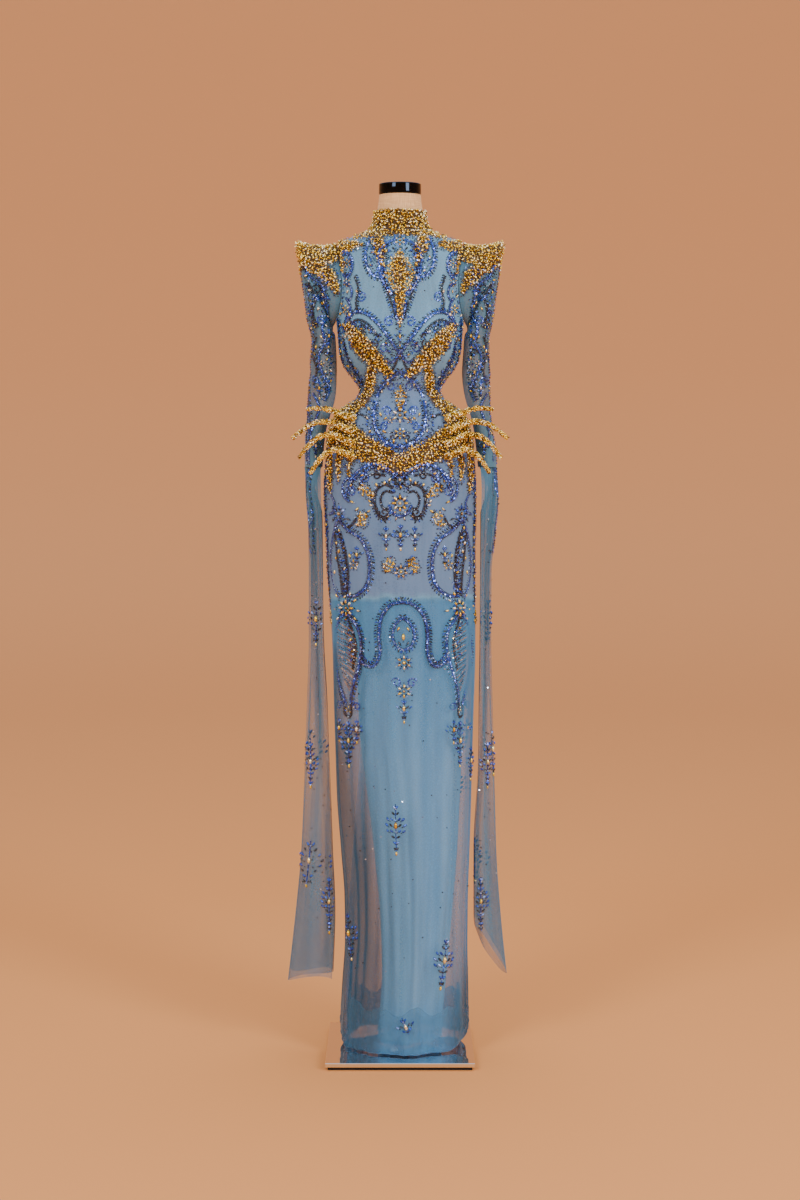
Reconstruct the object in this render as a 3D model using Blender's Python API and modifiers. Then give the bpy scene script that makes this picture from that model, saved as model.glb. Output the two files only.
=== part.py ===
"""Beaded evening gown of sheer tulle on a limbless dress form with a mirror steel base.

Metres, +Z up, the gown's front faces -Y and its right-hand side in the view from the front is +X.
The origin is the centre of the base's underside. Tables give sizes in millimetres.

Angles run round the figure: 0 is centre front, 90 the +X side, 180 centre back, -90 the -X side.
"""

import math
from collections import namedtuple

import bmesh
import bpy
import numpy as np

MM = 0.001

# Driving sizes of the garment, in millimetres
SEAM_GAP = 0.3  # between neighbouring pieces
EASE = 1.2  # from the dress form to the cloth that lies on it
TULLE_WALL = 1.5  # two layers of tulle with the beadwork's backing
LINING_WALL = 1.2
STONE_RELIEF = 2.4  # how far the dense stone embroidery stands up
HEM_SEAT = 0.5  # from the mirror plate to the outer skirt's hem
PLACKET_HALF_WIDTH = 6.0

# Heights above the floor, in millimetres
PLATE_TOP = 14.5
FORM_BOTTOM = 907.0
NECK_TOP = 1709.0
COLLAR_TOP = 1676.0
COLLAR_SEAM = 1638.0
WAIST_SEAM = 1300.0
LINING_HEM = 34.0
CUFF = 1165.0

# The armhole on the side of the bodice, and how much wider the sleeve's seam runs round it
ARMHOLE_CENTRE = 1531.0
ARMHOLE_HALF_HEIGHT = 77.0
ARMHOLE_HALF_ANGLE = 20.0
SLEEVE_SEAM_ANGLE = 10.0
SLEEVE_SEAM_RISE = 2.5
SLEEVE_SEAM_OFF = 2.0

# The stand
PLATE_SIDE = 290.0
PLATE_THICKNESS = 8.0
PAD_INSET = 5.0
PLATE_EDGE = 0.8  # the bevel of the plate's and the pad's edges
CAP_RADIUS = 42.5
CAP_HEIGHT = 22.0
CAP_RIM = 2.5
# The turned pole: radii at distances below its head, and at rises above its foot
PoleRing = namedtuple("PoleRing", "radius distance")
POLE_HEAD = [PoleRing(30, 0), PoleRing(30, 4), PoleRing(17, 7), PoleRing(17, 46), PoleRing(12.5, 49)]
POLE_FOOT = [PoleRing(12.5, 34), PoleRing(19, 31), PoleRing(19, 10), PoleRing(44, 6), PoleRing(45, 0)]
POLE_STEPS = 16

# Columns of the meshes
FORM_COLUMNS = 24
BODICE_COLUMNS = 19
BACK_PANEL_COLUMNS = 9
SKIRT_COLUMNS = 20
COLLAR_COLUMNS = 28

# The figure under the cloth: half width, and depth to the front and to the back
Section = namedtuple("Section", "height half_width front back")
FIGURE = [
    Section(1709, 42, 42, 42),
    Section(1690, 44, 43, 44),
    Section(1672, 47, 45, 47),
    Section(1655, 50, 48, 50),
    Section(1642, 55, 51, 56),
    Section(1634, 64, 54, 62),
    Section(1628, 77, 57, 67),
    Section(1621, 98, 61, 73),
    Section(1613, 117, 66, 79),
    Section(1602, 126, 71, 84),
    Section(1585, 130, 77, 90),
    Section(1560, 131, 84, 95),
    Section(1535, 130.4, 89, 98),
    Section(1510, 129, 93, 99),
    Section(1485, 127.8, 96, 99),
    Section(1455, 125.4, 99, 96.5),
    Section(1425, 122.6, 100, 91),
    Section(1395, 120, 97, 85),
    Section(1367, 110.6, 90, 80),
    Section(1341, 90.6, 82, 76),
    Section(1318, 78, 76, 74),
    Section(1300, 88, 78, 78),
    Section(1285, 108, 82, 84),
    Section(1268, 126, 86, 92),
    Section(1245, 137, 90, 99),
    Section(1215, 143, 93, 105),
    Section(1170, 146, 95, 111),
    Section(1120, 147, 95, 114),
    Section(1060, 145, 94, 115),
    Section(1000, 142, 91, 111),
    Section(950, 139, 88, 104),
    Section(907, 135, 86, 97),
]

# The bust cups of the cut: where the darts point, and how far they stand out
CUP_X = 60.0
CUP_HEIGHT = 1420.0
CUP_DEPTH = 17.0
CUP_WIDTH = 42.0
CUP_RISE = 44.0
FORM_CUP_SHARE = 0.85  # the dress form's bust is shallower than the bodice's cups
FORM_SLACK = 0.6  # and the rest of it is this much slimmer than the cut

# The outer skirt: its centre's shift to +X, half width, depths, and how deep its folds are
SkirtSection = namedtuple("SkirtSection", "height shift half_width front back fold")
SKIRT = [
    SkirtSection(1299.7, 0, 89.2, 79.2, 79.2, 0),
    SkirtSection(1285, 0, 109.2, 83.2, 85.2, 0),
    SkirtSection(1268, 0, 127.2, 87.2, 93.2, 0),
    SkirtSection(1245, 0, 138.4, 91.4, 100.4, 0),
    SkirtSection(1215, 0, 144.6, 94.6, 106.6, 0),
    SkirtSection(1192, 0, 146.4, 95.9, 110, 0),
    SkirtSection(1170, 0, 148, 97, 113, 0),
    SkirtSection(1120, 0, 150.4, 98, 117, 0),
    SkirtSection(1060, 0.6, 149.6, 98.2, 119.2, 0),
    SkirtSection(1000, 1.4, 147.8, 96, 116, 0.3),
    SkirtSection(950, 2.4, 146.4, 93.4, 110, 0.8),
    SkirtSection(907, 4, 145.6, 92.6, 104.6, 1.4),
    SkirtSection(845, 6.5, 143.5, 92, 102, 2.4),
    SkirtSection(775, 8, 142, 92, 101, 3.2),
    SkirtSection(700, 8, 140, 92, 101, 3.8),
    SkirtSection(600, 8.5, 137, 93, 102, 4.2),
    SkirtSection(500, 9, 134, 94, 103, 4.4),
    SkirtSection(400, 11, 128.5, 95, 104, 4.6),
    SkirtSection(300, 12.5, 123, 97, 105, 4.8),
    SkirtSection(215, 12, 122, 100, 106, 5),
    SkirtSection(140, 10, 125, 104, 108, 5),
    SkirtSection(85, 8.5, 127, 107, 110, 4.6),
]
# The hem below the last section: rise above the hem's lowest line, and step out from that section
HemStep = namedtuple("HemStep", "rise out")
HEM = [
    HemStep(34, 1.0),
    HemStep(13, 0.0),
    HemStep(3.2, -2.6),
    HemStep(0, -7.0),
    HemStep(4.2, -11.4),
    HemStep(22, -14.0),
    HemStep(56, -15.0),
]
SKIRT_FOLDS = 10
# Where the hem lifts off the base: the angle, how wide the lift is, and how high
Lift = namedtuple("Lift", "angle spread rise")
HEM_LIFTS = [Lift(88, 24, 24), Lift(-88, 16, 6), Lift(150, 18, 11), Lift(-140, 20, 9)]

# The inner skirt: its left and right edge in the front view, depths, and its folds
LiningSection = namedtuple("LiningSection", "height left right front back fold")
LINING = [
    LiningSection(1060, -145.2, 145.2, 94.2, 115.2, 0),
    LiningSection(1000, -142.2, 142.2, 91.2, 111.2, 0),
    LiningSection(950, -139.2, 139.2, 88.2, 104.2, 0),
    LiningSection(907, -135.4, 135.4, 86.4, 97.4, 0),
    LiningSection(868, -121, 136, 84, 90, 2),
    LiningSection(790, -86, 132, 78, 78, 4.5),
    LiningSection(640, -78, 126, 72, 70, 6),
    LiningSection(520, -64, 119, 68, 65, 6.5),
    LiningSection(400, -50, 112, 66, 62, 6.5),
    LiningSection(260, -38, 101, 66, 60, 6),
    LiningSection(150, -34, 90, 70, 60, 5.5),
    LiningSection(80, -38, 84, 74, 62, 5),
    LiningSection(LINING_HEM, -44, 82, 76, 64, 4.5),
]
LINING_FOLDS = 10
LINING_COLUMNS = 40

# The collar's cloth: half width and depths, standing clear of the neck
COLLAR = [
    Section(COLLAR_TOP, 48.4, 46.6, 48.4),
    Section(1655, 51.4, 49.4, 51.4),
    Section(1645, 55.2, 52.4, 56.8),
    Section(COLLAR_SEAM + SEAM_GAP, 60.8, 54.4, 60.6),
]

# The pointed sleeve head: rings that fan out from the armpit, tilted from upright
HeadRing = namedtuple("HeadRing", "tilt reach half_depth")
SLEEVE_HEAD = [
    HeadRing(7, 162.5, 46),
    HeadRing(14, 168.5, 43),
    HeadRing(19, 178, 38),
    HeadRing(22.2, 187.5, 32),
    HeadRing(27, 148, 35.5),
    HeadRing(34, 111, 36.5),
    HeadRing(45, 80, 37),
    HeadRing(62, 60, 37),
]
ARMPIT = (133.2, 1446.0)  # x and height of the underarm point
ARMPIT_RUN = (0.4, -9.0)  # how far that point moves over the head's rings

# The arm of the sleeve: inner and outer edge from the centre plane, for the -X and the +X arm
SleeveRing = namedtuple(
    "SleeveRing",
    "height inner_left outer_left inner_right outer_right half_depth centre_y",
)
SLEEVE = [
    SleeveRing(1430, 129.4, 178, 129, 179, 37, 0),
    SleeveRing(1395, 126.6, 177.5, 125.8, 178.5, 36.5, 1),
    SleeveRing(1345, 126, 181, 123.6, 179, 35, 4),
    SleeveRing(1300, 129.5, 184.5, 130.5, 180.5, 33, 8),
    SleeveRing(1268, 139, 187, 140.5, 182, 32, 11),
    SleeveRing(1240, 147, 190, 147, 185, 31, 13),
    SleeveRing(1205, 151.5, 192, 151.5, 191.5, 31, 14),
    SleeveRing(CUFF, 154.5, 191.5, 155.5, 194.5, 31, 14),
]
SLEEVE_COLUMNS = 18

# The trailing panel from each cuff: edges from the centre plane, its front and back, and its folds
StreamerSection = namedtuple("StreamerSection", "height inner outer front back")
STREAMER_LEFT = [
    StreamerSection(CUFF - SEAM_GAP, 173, 191.5, -14, 42),
    StreamerSection(1120, 158, 189, -20, 46),
    StreamerSection(1040, 156, 182, -24, 50),
    StreamerSection(950, 154.5, 180.5, -28, 54),
    StreamerSection(819, 152.5, 180.5, -32, 58),
    StreamerSection(700, 146, 184, -34, 60),
    StreamerSection(560, 140, 189, -36, 62),
    StreamerSection(400, 135, 196.5, -38, 64),
    StreamerSection(270, 130, 209, -40, 66),
    StreamerSection(141, 134, 223.5, -42, 68),
]
STREAMER_RIGHT = [
    StreamerSection(CUFF - SEAM_GAP, 175, 194.5, -14, 42),
    StreamerSection(1120, 163, 197, -20, 46),
    StreamerSection(1040, 162, 190, -24, 50),
    StreamerSection(950, 161, 181, -28, 54),
    StreamerSection(819, 160, 180.5, -32, 58),
    StreamerSection(700, 158.5, 183, -34, 60),
    StreamerSection(560, 156, 187, -36, 62),
    StreamerSection(400, 148, 191.5, -38, 64),
    StreamerSection(270, 148, 201, -40, 66),
    StreamerSection(148, 162, 213.5, -42, 68),
]
STREAMER_WAVES = 1.5
STREAMER_HEM_RISE = {"streamer_left": 9.0, "streamer_right": 105.0}  # how much shorter the inner edge is
STREAMER_COLUMNS = 20
STREAMER_GATHER = 90.0  # the length below the cuff in which the panel's folds open

# Stone sprays that stand off each hip. Each lies on the skirt from its root to where it leaves it, given as
# angles and heights, and then bows out to its tip
Spray = namedtuple(
    "Spray",
    "name root_angle root_height leave_angle leave_height tip_x tip_y tip_height bow",
)
HIP_SPRAYS = [
    Spray("upper", 40, 1262, 62, 1272, 184, -62, 1279, 6),
    Spray("outer", 38, 1236, 60, 1252, 212, -68, 1222, 15),
    Spray("middle", 36, 1211, 57, 1229, 199, -76, 1184, 16),
    Spray("lower", 36, 1186, 54, 1201, 176, -84, 1154, 11),
]
SPRAY_ROOT_RADIUS = 6.0
SPRAY_TIP_RADIUS = 2.8
SPRAY_SEAT = 0.25  # from the stones under a spray to the spray
SPRAY_SEATED_STOPS = 4
SPRAY_FREE_STOPS = 5

# Dense stone embroidery: patches on the chart of |x| and height, as ellipses with a tilt in degrees
Patch = namedtuple("Patch", "x height half_length half_height tilt")
FRONT_PATCHES = [
    Patch(0, 1530, 20, 62, 0),
    Patch(46, 1592, 16, 36, 8),
    Patch(84, 1394, 44, 18, -38),
    Patch(58, 1345, 32, 12, 62),
]
HIP_PATCHES = [
    Patch(108, 1262, 46, 22, -24),
    Patch(64, 1206, 62, 28, -10),
    Patch(0, 1180, 26, 22, 0),
    Patch(136, 1160, 16, 52, 0),
]


# Interpolation and sections


def between(table, column, height):
    """The value of one column of a table at a height, on the straight line between its rows."""
    heights = [row.height for row in reversed(table)]
    values = [getattr(row, column) for row in reversed(table)]
    return float(np.interp(height, heights, values))


def swing(angle, wide, front, back):
    """The point of an oval section at an angle in degrees, with unlike depths to front and back."""
    turn = math.radians(angle)
    depth = front if math.cos(turn) > 0 else back
    return wide * math.sin(turn), -depth * math.cos(turn)


def cup(x, height):
    """How far the bust cups stand out in front of the plain section."""
    across = (abs(x) - CUP_X) / CUP_WIDTH
    up = (height - CUP_HEIGHT) / CUP_RISE
    return CUP_DEPTH * math.exp(-across * across - up * up)


def figure_point(angle, height, cup_share=1.0, slack=0.0):
    """A point on the figure."""
    x, y = swing(
        angle,
        between(FIGURE, "half_width", height) - slack,
        between(FIGURE, "front", height) - slack,
        between(FIGURE, "back", height) - slack,
    )
    if math.cos(math.radians(angle)) > 0:
        y -= cup_share * cup(x, height)
    return np.array([x, y, height])


def off_figure(angle, height, distance):
    """A point at the same height, where the figure's surface is that far away."""
    along = figure_point(angle + 1, height) - figure_point(angle - 1, height)
    down = figure_point(angle, height - 2) - figure_point(angle, height + 2)
    normal = np.cross(down, along)
    normal /= np.linalg.norm(normal)
    level = normal * (1, 1, 0)
    return figure_point(angle, height) + level * distance / np.dot(level, level)


def fold_wave(angle, folds, height):
    """Uneven folds round a skirt, from -1 to 1."""
    turn = math.radians(angle)
    drift = 0.35 * math.sin(height / 260.0)
    return 0.62 * math.sin(folds * turn + drift + 0.4) + 0.38 * math.sin((folds - 4) * turn - drift + 1.9)


def hem_lift(angle):
    """How far the hem is lifted off the base at an angle."""
    return sum(
        lift.rise * math.exp(-(((angle - lift.angle + 180) % 360 - 180) / lift.spread) ** 2)
        for lift in HEM_LIFTS
    )


def skirt_point(angle, height, out=0.0):
    """The inner face of the outer skirt, moved out by a distance in the plane."""
    fold = between(SKIRT, "fold", height) * fold_wave(angle, SKIRT_FOLDS, height)
    x, y = swing(
        angle,
        between(SKIRT, "half_width", height) + fold + out,
        between(SKIRT, "front", height) + fold + out,
        between(SKIRT, "back", height) + fold + out,
    )
    return np.array([x + between(SKIRT, "shift", height), y, height])


def off_skirt(angle, height, distance):
    """A point at the same height, that far outside the inner face of the outer skirt."""
    along = skirt_point(angle + 1, height) - skirt_point(angle - 1, height)
    down = skirt_point(angle, height - 2) - skirt_point(angle, height + 2)
    normal = np.cross(down, along)
    normal /= np.linalg.norm(normal)
    level = normal * (1, 1, 0)
    return skirt_point(angle, height) + level * distance / np.dot(level, level)


def hem_point(angle, step):
    """A point of the turned-up hem that follows the skirt's last section."""
    last = SKIRT[-1].height
    lowest = PLATE_TOP + TULLE_WALL + HEM_SEAT
    point = skirt_point(angle, last, step.out)
    point[2] = lowest + hem_lift(angle) + step.rise
    return point


def lining_point(angle, height):
    """The inner face of the inner skirt."""
    left, right = between(LINING, "left", height), between(LINING, "right", height)
    fold = between(LINING, "fold", height) * fold_wave(angle, LINING_FOLDS, height + 400)
    x, y = swing(
        angle,
        (right - left) / 2 + fold,
        between(LINING, "front", height) + fold,
        between(LINING, "back", height) + fold,
    )
    return np.array([x + (left + right) / 2, y, height])


def patch_cover(x, height, patches):
    """From 0 outside the stone embroidery to 1 well inside it."""
    cover = 0.0
    for patch in patches:
        tilt = math.radians(patch.tilt)
        across, up = abs(x) - patch.x, height - patch.height
        along = across * math.cos(tilt) + up * math.sin(tilt)
        aside = up * math.cos(tilt) - across * math.sin(tilt)
        depth = 1.25 - math.hypot(along / patch.half_length, aside / patch.half_height)
        cover = max(cover, min(1.0, max(0.0, depth * 3)))
    return cover


# Making solids


def material(name, colour, roughness, metallic=0.0):
    """A plain material with the part's colour."""
    made = bpy.data.materials.new(name)
    made.use_nodes = True
    shader = made.node_tree.nodes["Principled BSDF"]
    shader.inputs["Base Color"].default_value = (*colour, 1.0)
    shader.inputs["Roughness"].default_value = roughness
    shader.inputs["Metallic"].default_value = metallic
    made.diffuse_color = (*colour, 1.0)
    return made


def keep(obj, collection, finish):
    """Puts an object in its collection with its material."""
    for old in obj.users_collection:
        old.objects.unlink(obj)
    collection.objects.link(obj)
    obj.data.materials.clear()
    obj.data.materials.append(finish)
    return obj


def grid_normals(grid, ring):
    """Unit normals of a grid of points, rows first. A ring closes on itself along its columns."""
    if ring:
        along = np.roll(grid, -1, axis=1) - np.roll(grid, 1, axis=1)
    else:
        along = np.gradient(grid, axis=1)
    down = np.gradient(grid, axis=0)
    normal = np.cross(down, along)
    return normal / np.linalg.norm(normal, axis=2, keepdims=True)


def cloth_wall(
    name, grid, thickness, collection, finish, ring=False, relief=None, flip=False, level=(0, -1), trim=0
):
    """A closed wall of cloth. grid is its inner face in millimetres; the outer face stands off from it.

    The rows run down and the columns run towards +X across the front. relief adds to the outer face alone.
    level lists the rows whose rims lie level, as at a seam that runs round the figure. trim is how many
    columns at each edge only show how the cloth would go on past its seam, and are left off. The faces are
    joined by hand, because the relief raises the outer face over a plain inner face.
    """
    grid = np.asarray(grid, float)
    normal = grid_normals(grid, ring) * (-1 if flip else 1)
    if trim:
        grid, normal = grid[:, trim:-trim], normal[:, trim:-trim]
    rows, columns = grid.shape[:2]
    for row in level:
        normal[row, :, 2] = 0
        normal[row] /= np.linalg.norm(normal[row], axis=1, keepdims=True)
    depth = np.full((rows, columns), float(thickness))
    if relief is not None:
        depth += relief
    outer = grid + normal * depth[..., None]
    mesh = bmesh.new()
    faces = {}
    for side, points in (("in", grid), ("out", outer)):
        faces[side] = [[mesh.verts.new(point * MM) for point in row] for row in points]
    last = columns if ring else columns - 1
    for i in range(rows - 1):
        for j in range(last):
            k = (j + 1) % columns
            for side in ("in", "out"):
                net = faces[side]
                mesh.faces.new((net[i][j], net[i + 1][j], net[i + 1][k], net[i][k]))
    for j in range(last):
        k = (j + 1) % columns
        for i in (0, rows - 1):
            mesh.faces.new((faces["in"][i][j], faces["in"][i][k], faces["out"][i][k], faces["out"][i][j]))
    if not ring:
        for i in range(rows - 1):
            for j in (0, columns - 1):
                mesh.faces.new(
                    (faces["in"][i][j], faces["in"][i + 1][j], faces["out"][i + 1][j], faces["out"][i][j])
                )
    bmesh.ops.recalc_face_normals(mesh, faces=mesh.faces)
    return finished(name, mesh, collection, finish)


def finished(name, mesh, collection, finish):
    """A smooth-shaded object from a bmesh."""
    data = bpy.data.meshes.new(name)
    mesh.to_mesh(data)
    mesh.free()
    data.shade_smooth()
    data.set_sharp_from_angle(angle=math.radians(50))
    return keep(bpy.data.objects.new(name, data), collection, finish)


def spread(first, last, count, beyond=0):
    """Evenly spaced values, both ends included, and as many more beyond each end."""
    step = (last - first) / (count - 1)
    return np.linspace(first - beyond * step, last + beyond * step, count + 2 * beyond)


def seam_angle(half_width):
    """The angle that leaves half a seam's gap at a section's side."""
    return math.degrees(SEAM_GAP / 2 / half_width)


# The dress form and its stand


def build_form(collection, linen, chrome):
    """The limbless torso with its neck, and the cap on the neck."""
    mesh = bmesh.new()
    angles = [360.0 * k / FORM_COLUMNS for k in range(FORM_COLUMNS)]
    rings = [
        [
            mesh.verts.new(figure_point(angle, row.height, FORM_CUP_SHARE, FORM_SLACK) * MM)
            for angle in angles
        ]
        for row in FIGURE
    ]
    for upper, lower in zip(rings, rings[1:]):
        for j in range(FORM_COLUMNS):
            k = (j + 1) % FORM_COLUMNS
            mesh.faces.new((upper[j], lower[j], lower[k], upper[k]))
    mesh.faces.new(rings[0])
    mesh.faces.new(reversed(rings[-1]))
    bmesh.ops.recalc_face_normals(mesh, faces=mesh.faces)
    finished("dress_form", mesh, collection, linen)

    bpy.ops.mesh.primitive_cylinder_add(
        vertices=COLLAR_COLUMNS,
        radius=CAP_RADIUS * MM,
        depth=CAP_HEIGHT * MM,
        location=(0, 0, (NECK_TOP + SEAM_GAP + CAP_HEIGHT / 2) * MM),
    )
    cap = bpy.context.object
    cap.name = "neck_cap"
    edge = cap.modifiers.new("rounded_rim", "BEVEL")
    edge.width = CAP_RIM * MM
    edge.segments = 2
    edge.limit_method = "ANGLE"
    keep(cap, collection, chrome)


def build_stand(collection, steel, mirror, rubber):
    """The pole with its foot and head, the mirror plate and the black pad under it."""
    foot = PLATE_TOP + SEAM_GAP
    head = FORM_BOTTOM - SEAM_GAP
    profile = [(0, head)]
    profile += [(ring.radius, head - ring.distance) for ring in POLE_HEAD]
    profile += [(ring.radius, foot + ring.distance) for ring in POLE_FOOT]
    profile.append((0, foot))
    data = bpy.data.meshes.new("stand_pole")
    points = [(r * MM, 0, z * MM) for r, z in profile]
    data.from_pydata(points, [(i, i + 1) for i in range(len(profile) - 1)], [])
    pole = bpy.data.objects.new("stand_pole", data)
    turned = pole.modifiers.new("turned", "SCREW")
    turned.axis = "Z"
    turned.steps = turned.render_steps = POLE_STEPS
    turned.use_merge_vertices = True
    turned.merge_threshold = 0.00005
    keep(pole, collection, steel)

    plate_middle = PLATE_TOP - PLATE_THICKNESS / 2
    pad_height = PLATE_TOP - PLATE_THICKNESS - SEAM_GAP
    slabs = [
        ("base_plate", PLATE_SIDE, PLATE_THICKNESS, plate_middle, mirror),
        ("base_pad", PLATE_SIDE - 2 * PAD_INSET, pad_height, pad_height / 2, rubber),
    ]
    for name, side, thick, middle, finish in slabs:
        bpy.ops.mesh.primitive_cube_add(size=1, location=(0, 0, middle * MM))
        slab = bpy.context.object
        slab.name = name
        slab.scale = (side * MM, side * MM, thick * MM)
        bpy.ops.object.transform_apply(location=False, rotation=False, scale=True)
        edge = slab.modifiers.new("eased_edge", "BEVEL")
        edge.width = PLATE_EDGE * MM
        edge.segments = 1
        keep(slab, collection, finish)


# The garment


def armhole_edge(height):
    """The angle at which the front panel ends at a height: the side seam, or the armhole's edge."""
    up = min(1.0, abs(height - ARMHOLE_CENTRE) / ARMHOLE_HALF_HEIGHT)
    return 90.0 - ARMHOLE_HALF_ANGLE * (0.5 + 0.5 * math.cos(math.pi * up))


def bodice_heights():
    """The bodice's rows: the figure's, from the collar seam to the waist seam."""
    rows = [row.height for row in FIGURE if WAIST_SEAM < row.height < COLLAR_SEAM]
    return [COLLAR_SEAM - SEAM_GAP, *rows, WAIST_SEAM + SEAM_GAP]


def panel_relief(grid, patches):
    """The stone embroidery's relief on a panel, none of it on the panel's rims."""
    relief = np.zeros(grid.shape[:2])
    for i in range(1, grid.shape[0] - 1):
        for j in range(1, grid.shape[1] - 1):
            x, _, height = grid[i, j]
            stagger = 0.85 + 0.15 * math.cos(math.pi * (i + j))
            relief[i, j] = STONE_RELIEF * stagger * patch_cover(x, height, patches)
    return relief


def bodice_panel(name, start, end, columns, patches, collection, finish):
    """A bodice panel between two edges, each a function that gives the angle at a height."""
    grid = np.array(
        [
            [off_figure(angle, height, EASE) for angle in spread(start(height), end(height), columns, 1)]
            for height in bodice_heights()
        ]
    )
    relief = panel_relief(grid[:, 1:-1], patches)
    cloth_wall(name, grid, TULLE_WALL, collection, finish, relief=relief, trim=1)


def build_bodice(collection, finish):
    """One front panel, and two back panels that meet at the centre back placket."""

    def side(height):
        return armhole_edge(height) - seam_angle(between(FIGURE, "half_width", height))

    def back_side(height):
        return 180.0 - side(height)

    def placket(height):
        return 180.0 - seam_angle(between(FIGURE, "back", height))

    bodice_panel("bodice_front", lambda h: -side(h), side, BODICE_COLUMNS, FRONT_PATCHES, collection, finish)
    bodice_panel("bodice_back_right", back_side, placket, BACK_PANEL_COLUMNS, [], collection, finish)
    bodice_panel(
        "bodice_back_left",
        lambda h: 360.0 - placket(h),
        lambda h: 360.0 - back_side(h),
        BACK_PANEL_COLUMNS,
        [],
        collection,
        finish,
    )


def build_collar(collection, finish):
    """The standing collar, thick with stones, open at the centre back where it hooks."""
    rows = []
    for section in COLLAR:
        edge = 180.0 - math.degrees(SEAM_GAP / section.back)
        rows.append(
            [
                [*swing(angle, section.half_width, section.front, section.back), section.height]
                for angle in spread(-edge, edge, COLLAR_COLUMNS)
            ]
        )
    grid = np.array(rows)
    relief = np.array(
        [
            [STONE_RELIEF * (0.62 + 0.38 * (-1) ** (i + j)) for j in range(COLLAR_COLUMNS)]
            for i in range(len(rows))
        ]
    )
    relief[-1] = 0
    cloth_wall("collar", grid, TULLE_WALL, collection, finish, relief=relief)


def build_placket(collection, finish):
    """A narrow covering strip over the centre back fastening of the bodice."""
    off = EASE + TULLE_WALL + 2 * SEAM_GAP
    grid = []
    for height in bodice_heights():
        turn = math.degrees(PLACKET_HALF_WIDTH / between(FIGURE, "back", height))
        grid.append([off_figure(angle, height, off) for angle in spread(180 - turn, 180 + turn, 3)])
    cloth_wall("back_placket", grid, LINING_WALL, collection, finish)


def build_skirt(collection, finish):
    """The outer skirt's front and back panels, with the hem turned up inside."""
    halves = {"skirt_front": (-90.0, 90.0, HIP_PATCHES), "skirt_back": (90.0, 270.0, [])}
    for name, (start, end, patches) in halves.items():
        rows = []
        for row in SKIRT:
            slip = seam_angle(row.half_width)
            angles = spread(start + slip, end - slip, SKIRT_COLUMNS, 1)
            rows.append([skirt_point(a, row.height) for a in angles])
        slip = seam_angle(SKIRT[-1].half_width)
        for step in HEM:
            rows.append([hem_point(a, step) for a in spread(start + slip, end - slip, SKIRT_COLUMNS, 1)])
        grid = np.array(rows)
        relief = panel_relief(grid[:, 1:-1], patches)
        cloth_wall(name, grid, TULLE_WALL, collection, finish, relief=relief, trim=1)


def build_lining(collection, finish):
    """The inner skirt, which lies on the form's hips and falls in a narrow fluted column."""
    angles = [360.0 * k / LINING_COLUMNS for k in range(LINING_COLUMNS)]
    grid = [[lining_point(angle, row.height) for angle in angles] for row in LINING]
    cloth_wall("inner_skirt", grid, LINING_WALL, collection, finish, ring=True)


def sleeve_rings(side):
    """The rings of a sleeve's inner face, from the armhole over the head to the cuff. side is -1 or 1."""
    turns = [2 * math.pi * k / SLEEVE_COLUMNS for k in range(SLEEVE_COLUMNS)]
    off = EASE + TULLE_WALL + SLEEVE_SEAM_OFF
    rings = []
    armhole = []
    for turn in turns:
        angle = 90.0 - (ARMHOLE_HALF_ANGLE + SLEEVE_SEAM_ANGLE) * math.sin(turn)
        height = ARMHOLE_CENTRE + (ARMHOLE_HALF_HEIGHT + SLEEVE_SEAM_RISE) * math.cos(turn)
        armhole.append(off_figure(angle, height, off))
    rings.append(armhole)
    for step, ring in enumerate(SLEEVE_HEAD):
        share = (step + 1) / len(SLEEVE_HEAD)
        tilt = math.radians(ring.tilt)
        x0 = ARMPIT[0] + ARMPIT_RUN[0] * share
        z0 = ARMPIT[1] + ARMPIT_RUN[1] * share
        rings.append(
            [
                np.array(
                    [
                        x0 + math.sin(tilt) * ring.reach * (1 + math.cos(turn)) / 2,
                        -ring.half_depth * math.sin(turn),
                        z0 + math.cos(tilt) * ring.reach * (1 + math.cos(turn)) / 2,
                    ]
                )
                for turn in turns
            ]
        )
    for ring in SLEEVE:
        inner = ring.inner_left if side < 0 else ring.inner_right
        outer = ring.outer_left if side < 0 else ring.outer_right
        rings.append(
            [
                np.array(
                    [
                        inner + (outer - inner) * (1 + math.cos(turn)) / 2,
                        ring.centre_y - ring.half_depth * math.sin(turn),
                        ring.height,
                    ]
                )
                for turn in turns
            ]
        )
    grid = np.array(rings)
    grid[..., 0] *= side
    return grid


def sleeve_relief(grid):
    """Stone relief on the pointed head: full at the point, fading down the front and back."""
    reach = np.abs(grid[..., 0])
    cover = np.clip((grid[..., 2] - 1520) / 50, 0, 1) * np.clip((reach - 128) / 18, 0, 1)
    rows, columns = np.indices(cover.shape)
    relief = STONE_RELIEF * cover * (0.7 + 0.3 * np.cos(math.pi * (rows + columns)))
    relief[0] = 0
    return relief


def build_sleeves(collection, finish):
    """Both sleeves, each a tube from the armhole to an open cuff."""
    for side, name in ((-1, "sleeve_left"), (1, "sleeve_right")):
        grid = sleeve_rings(side)
        cloth_wall(
            name,
            grid,
            LINING_WALL,
            collection,
            finish,
            ring=True,
            relief=sleeve_relief(grid),
            flip=side < 0,
            level=(-1,),
        )


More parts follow.
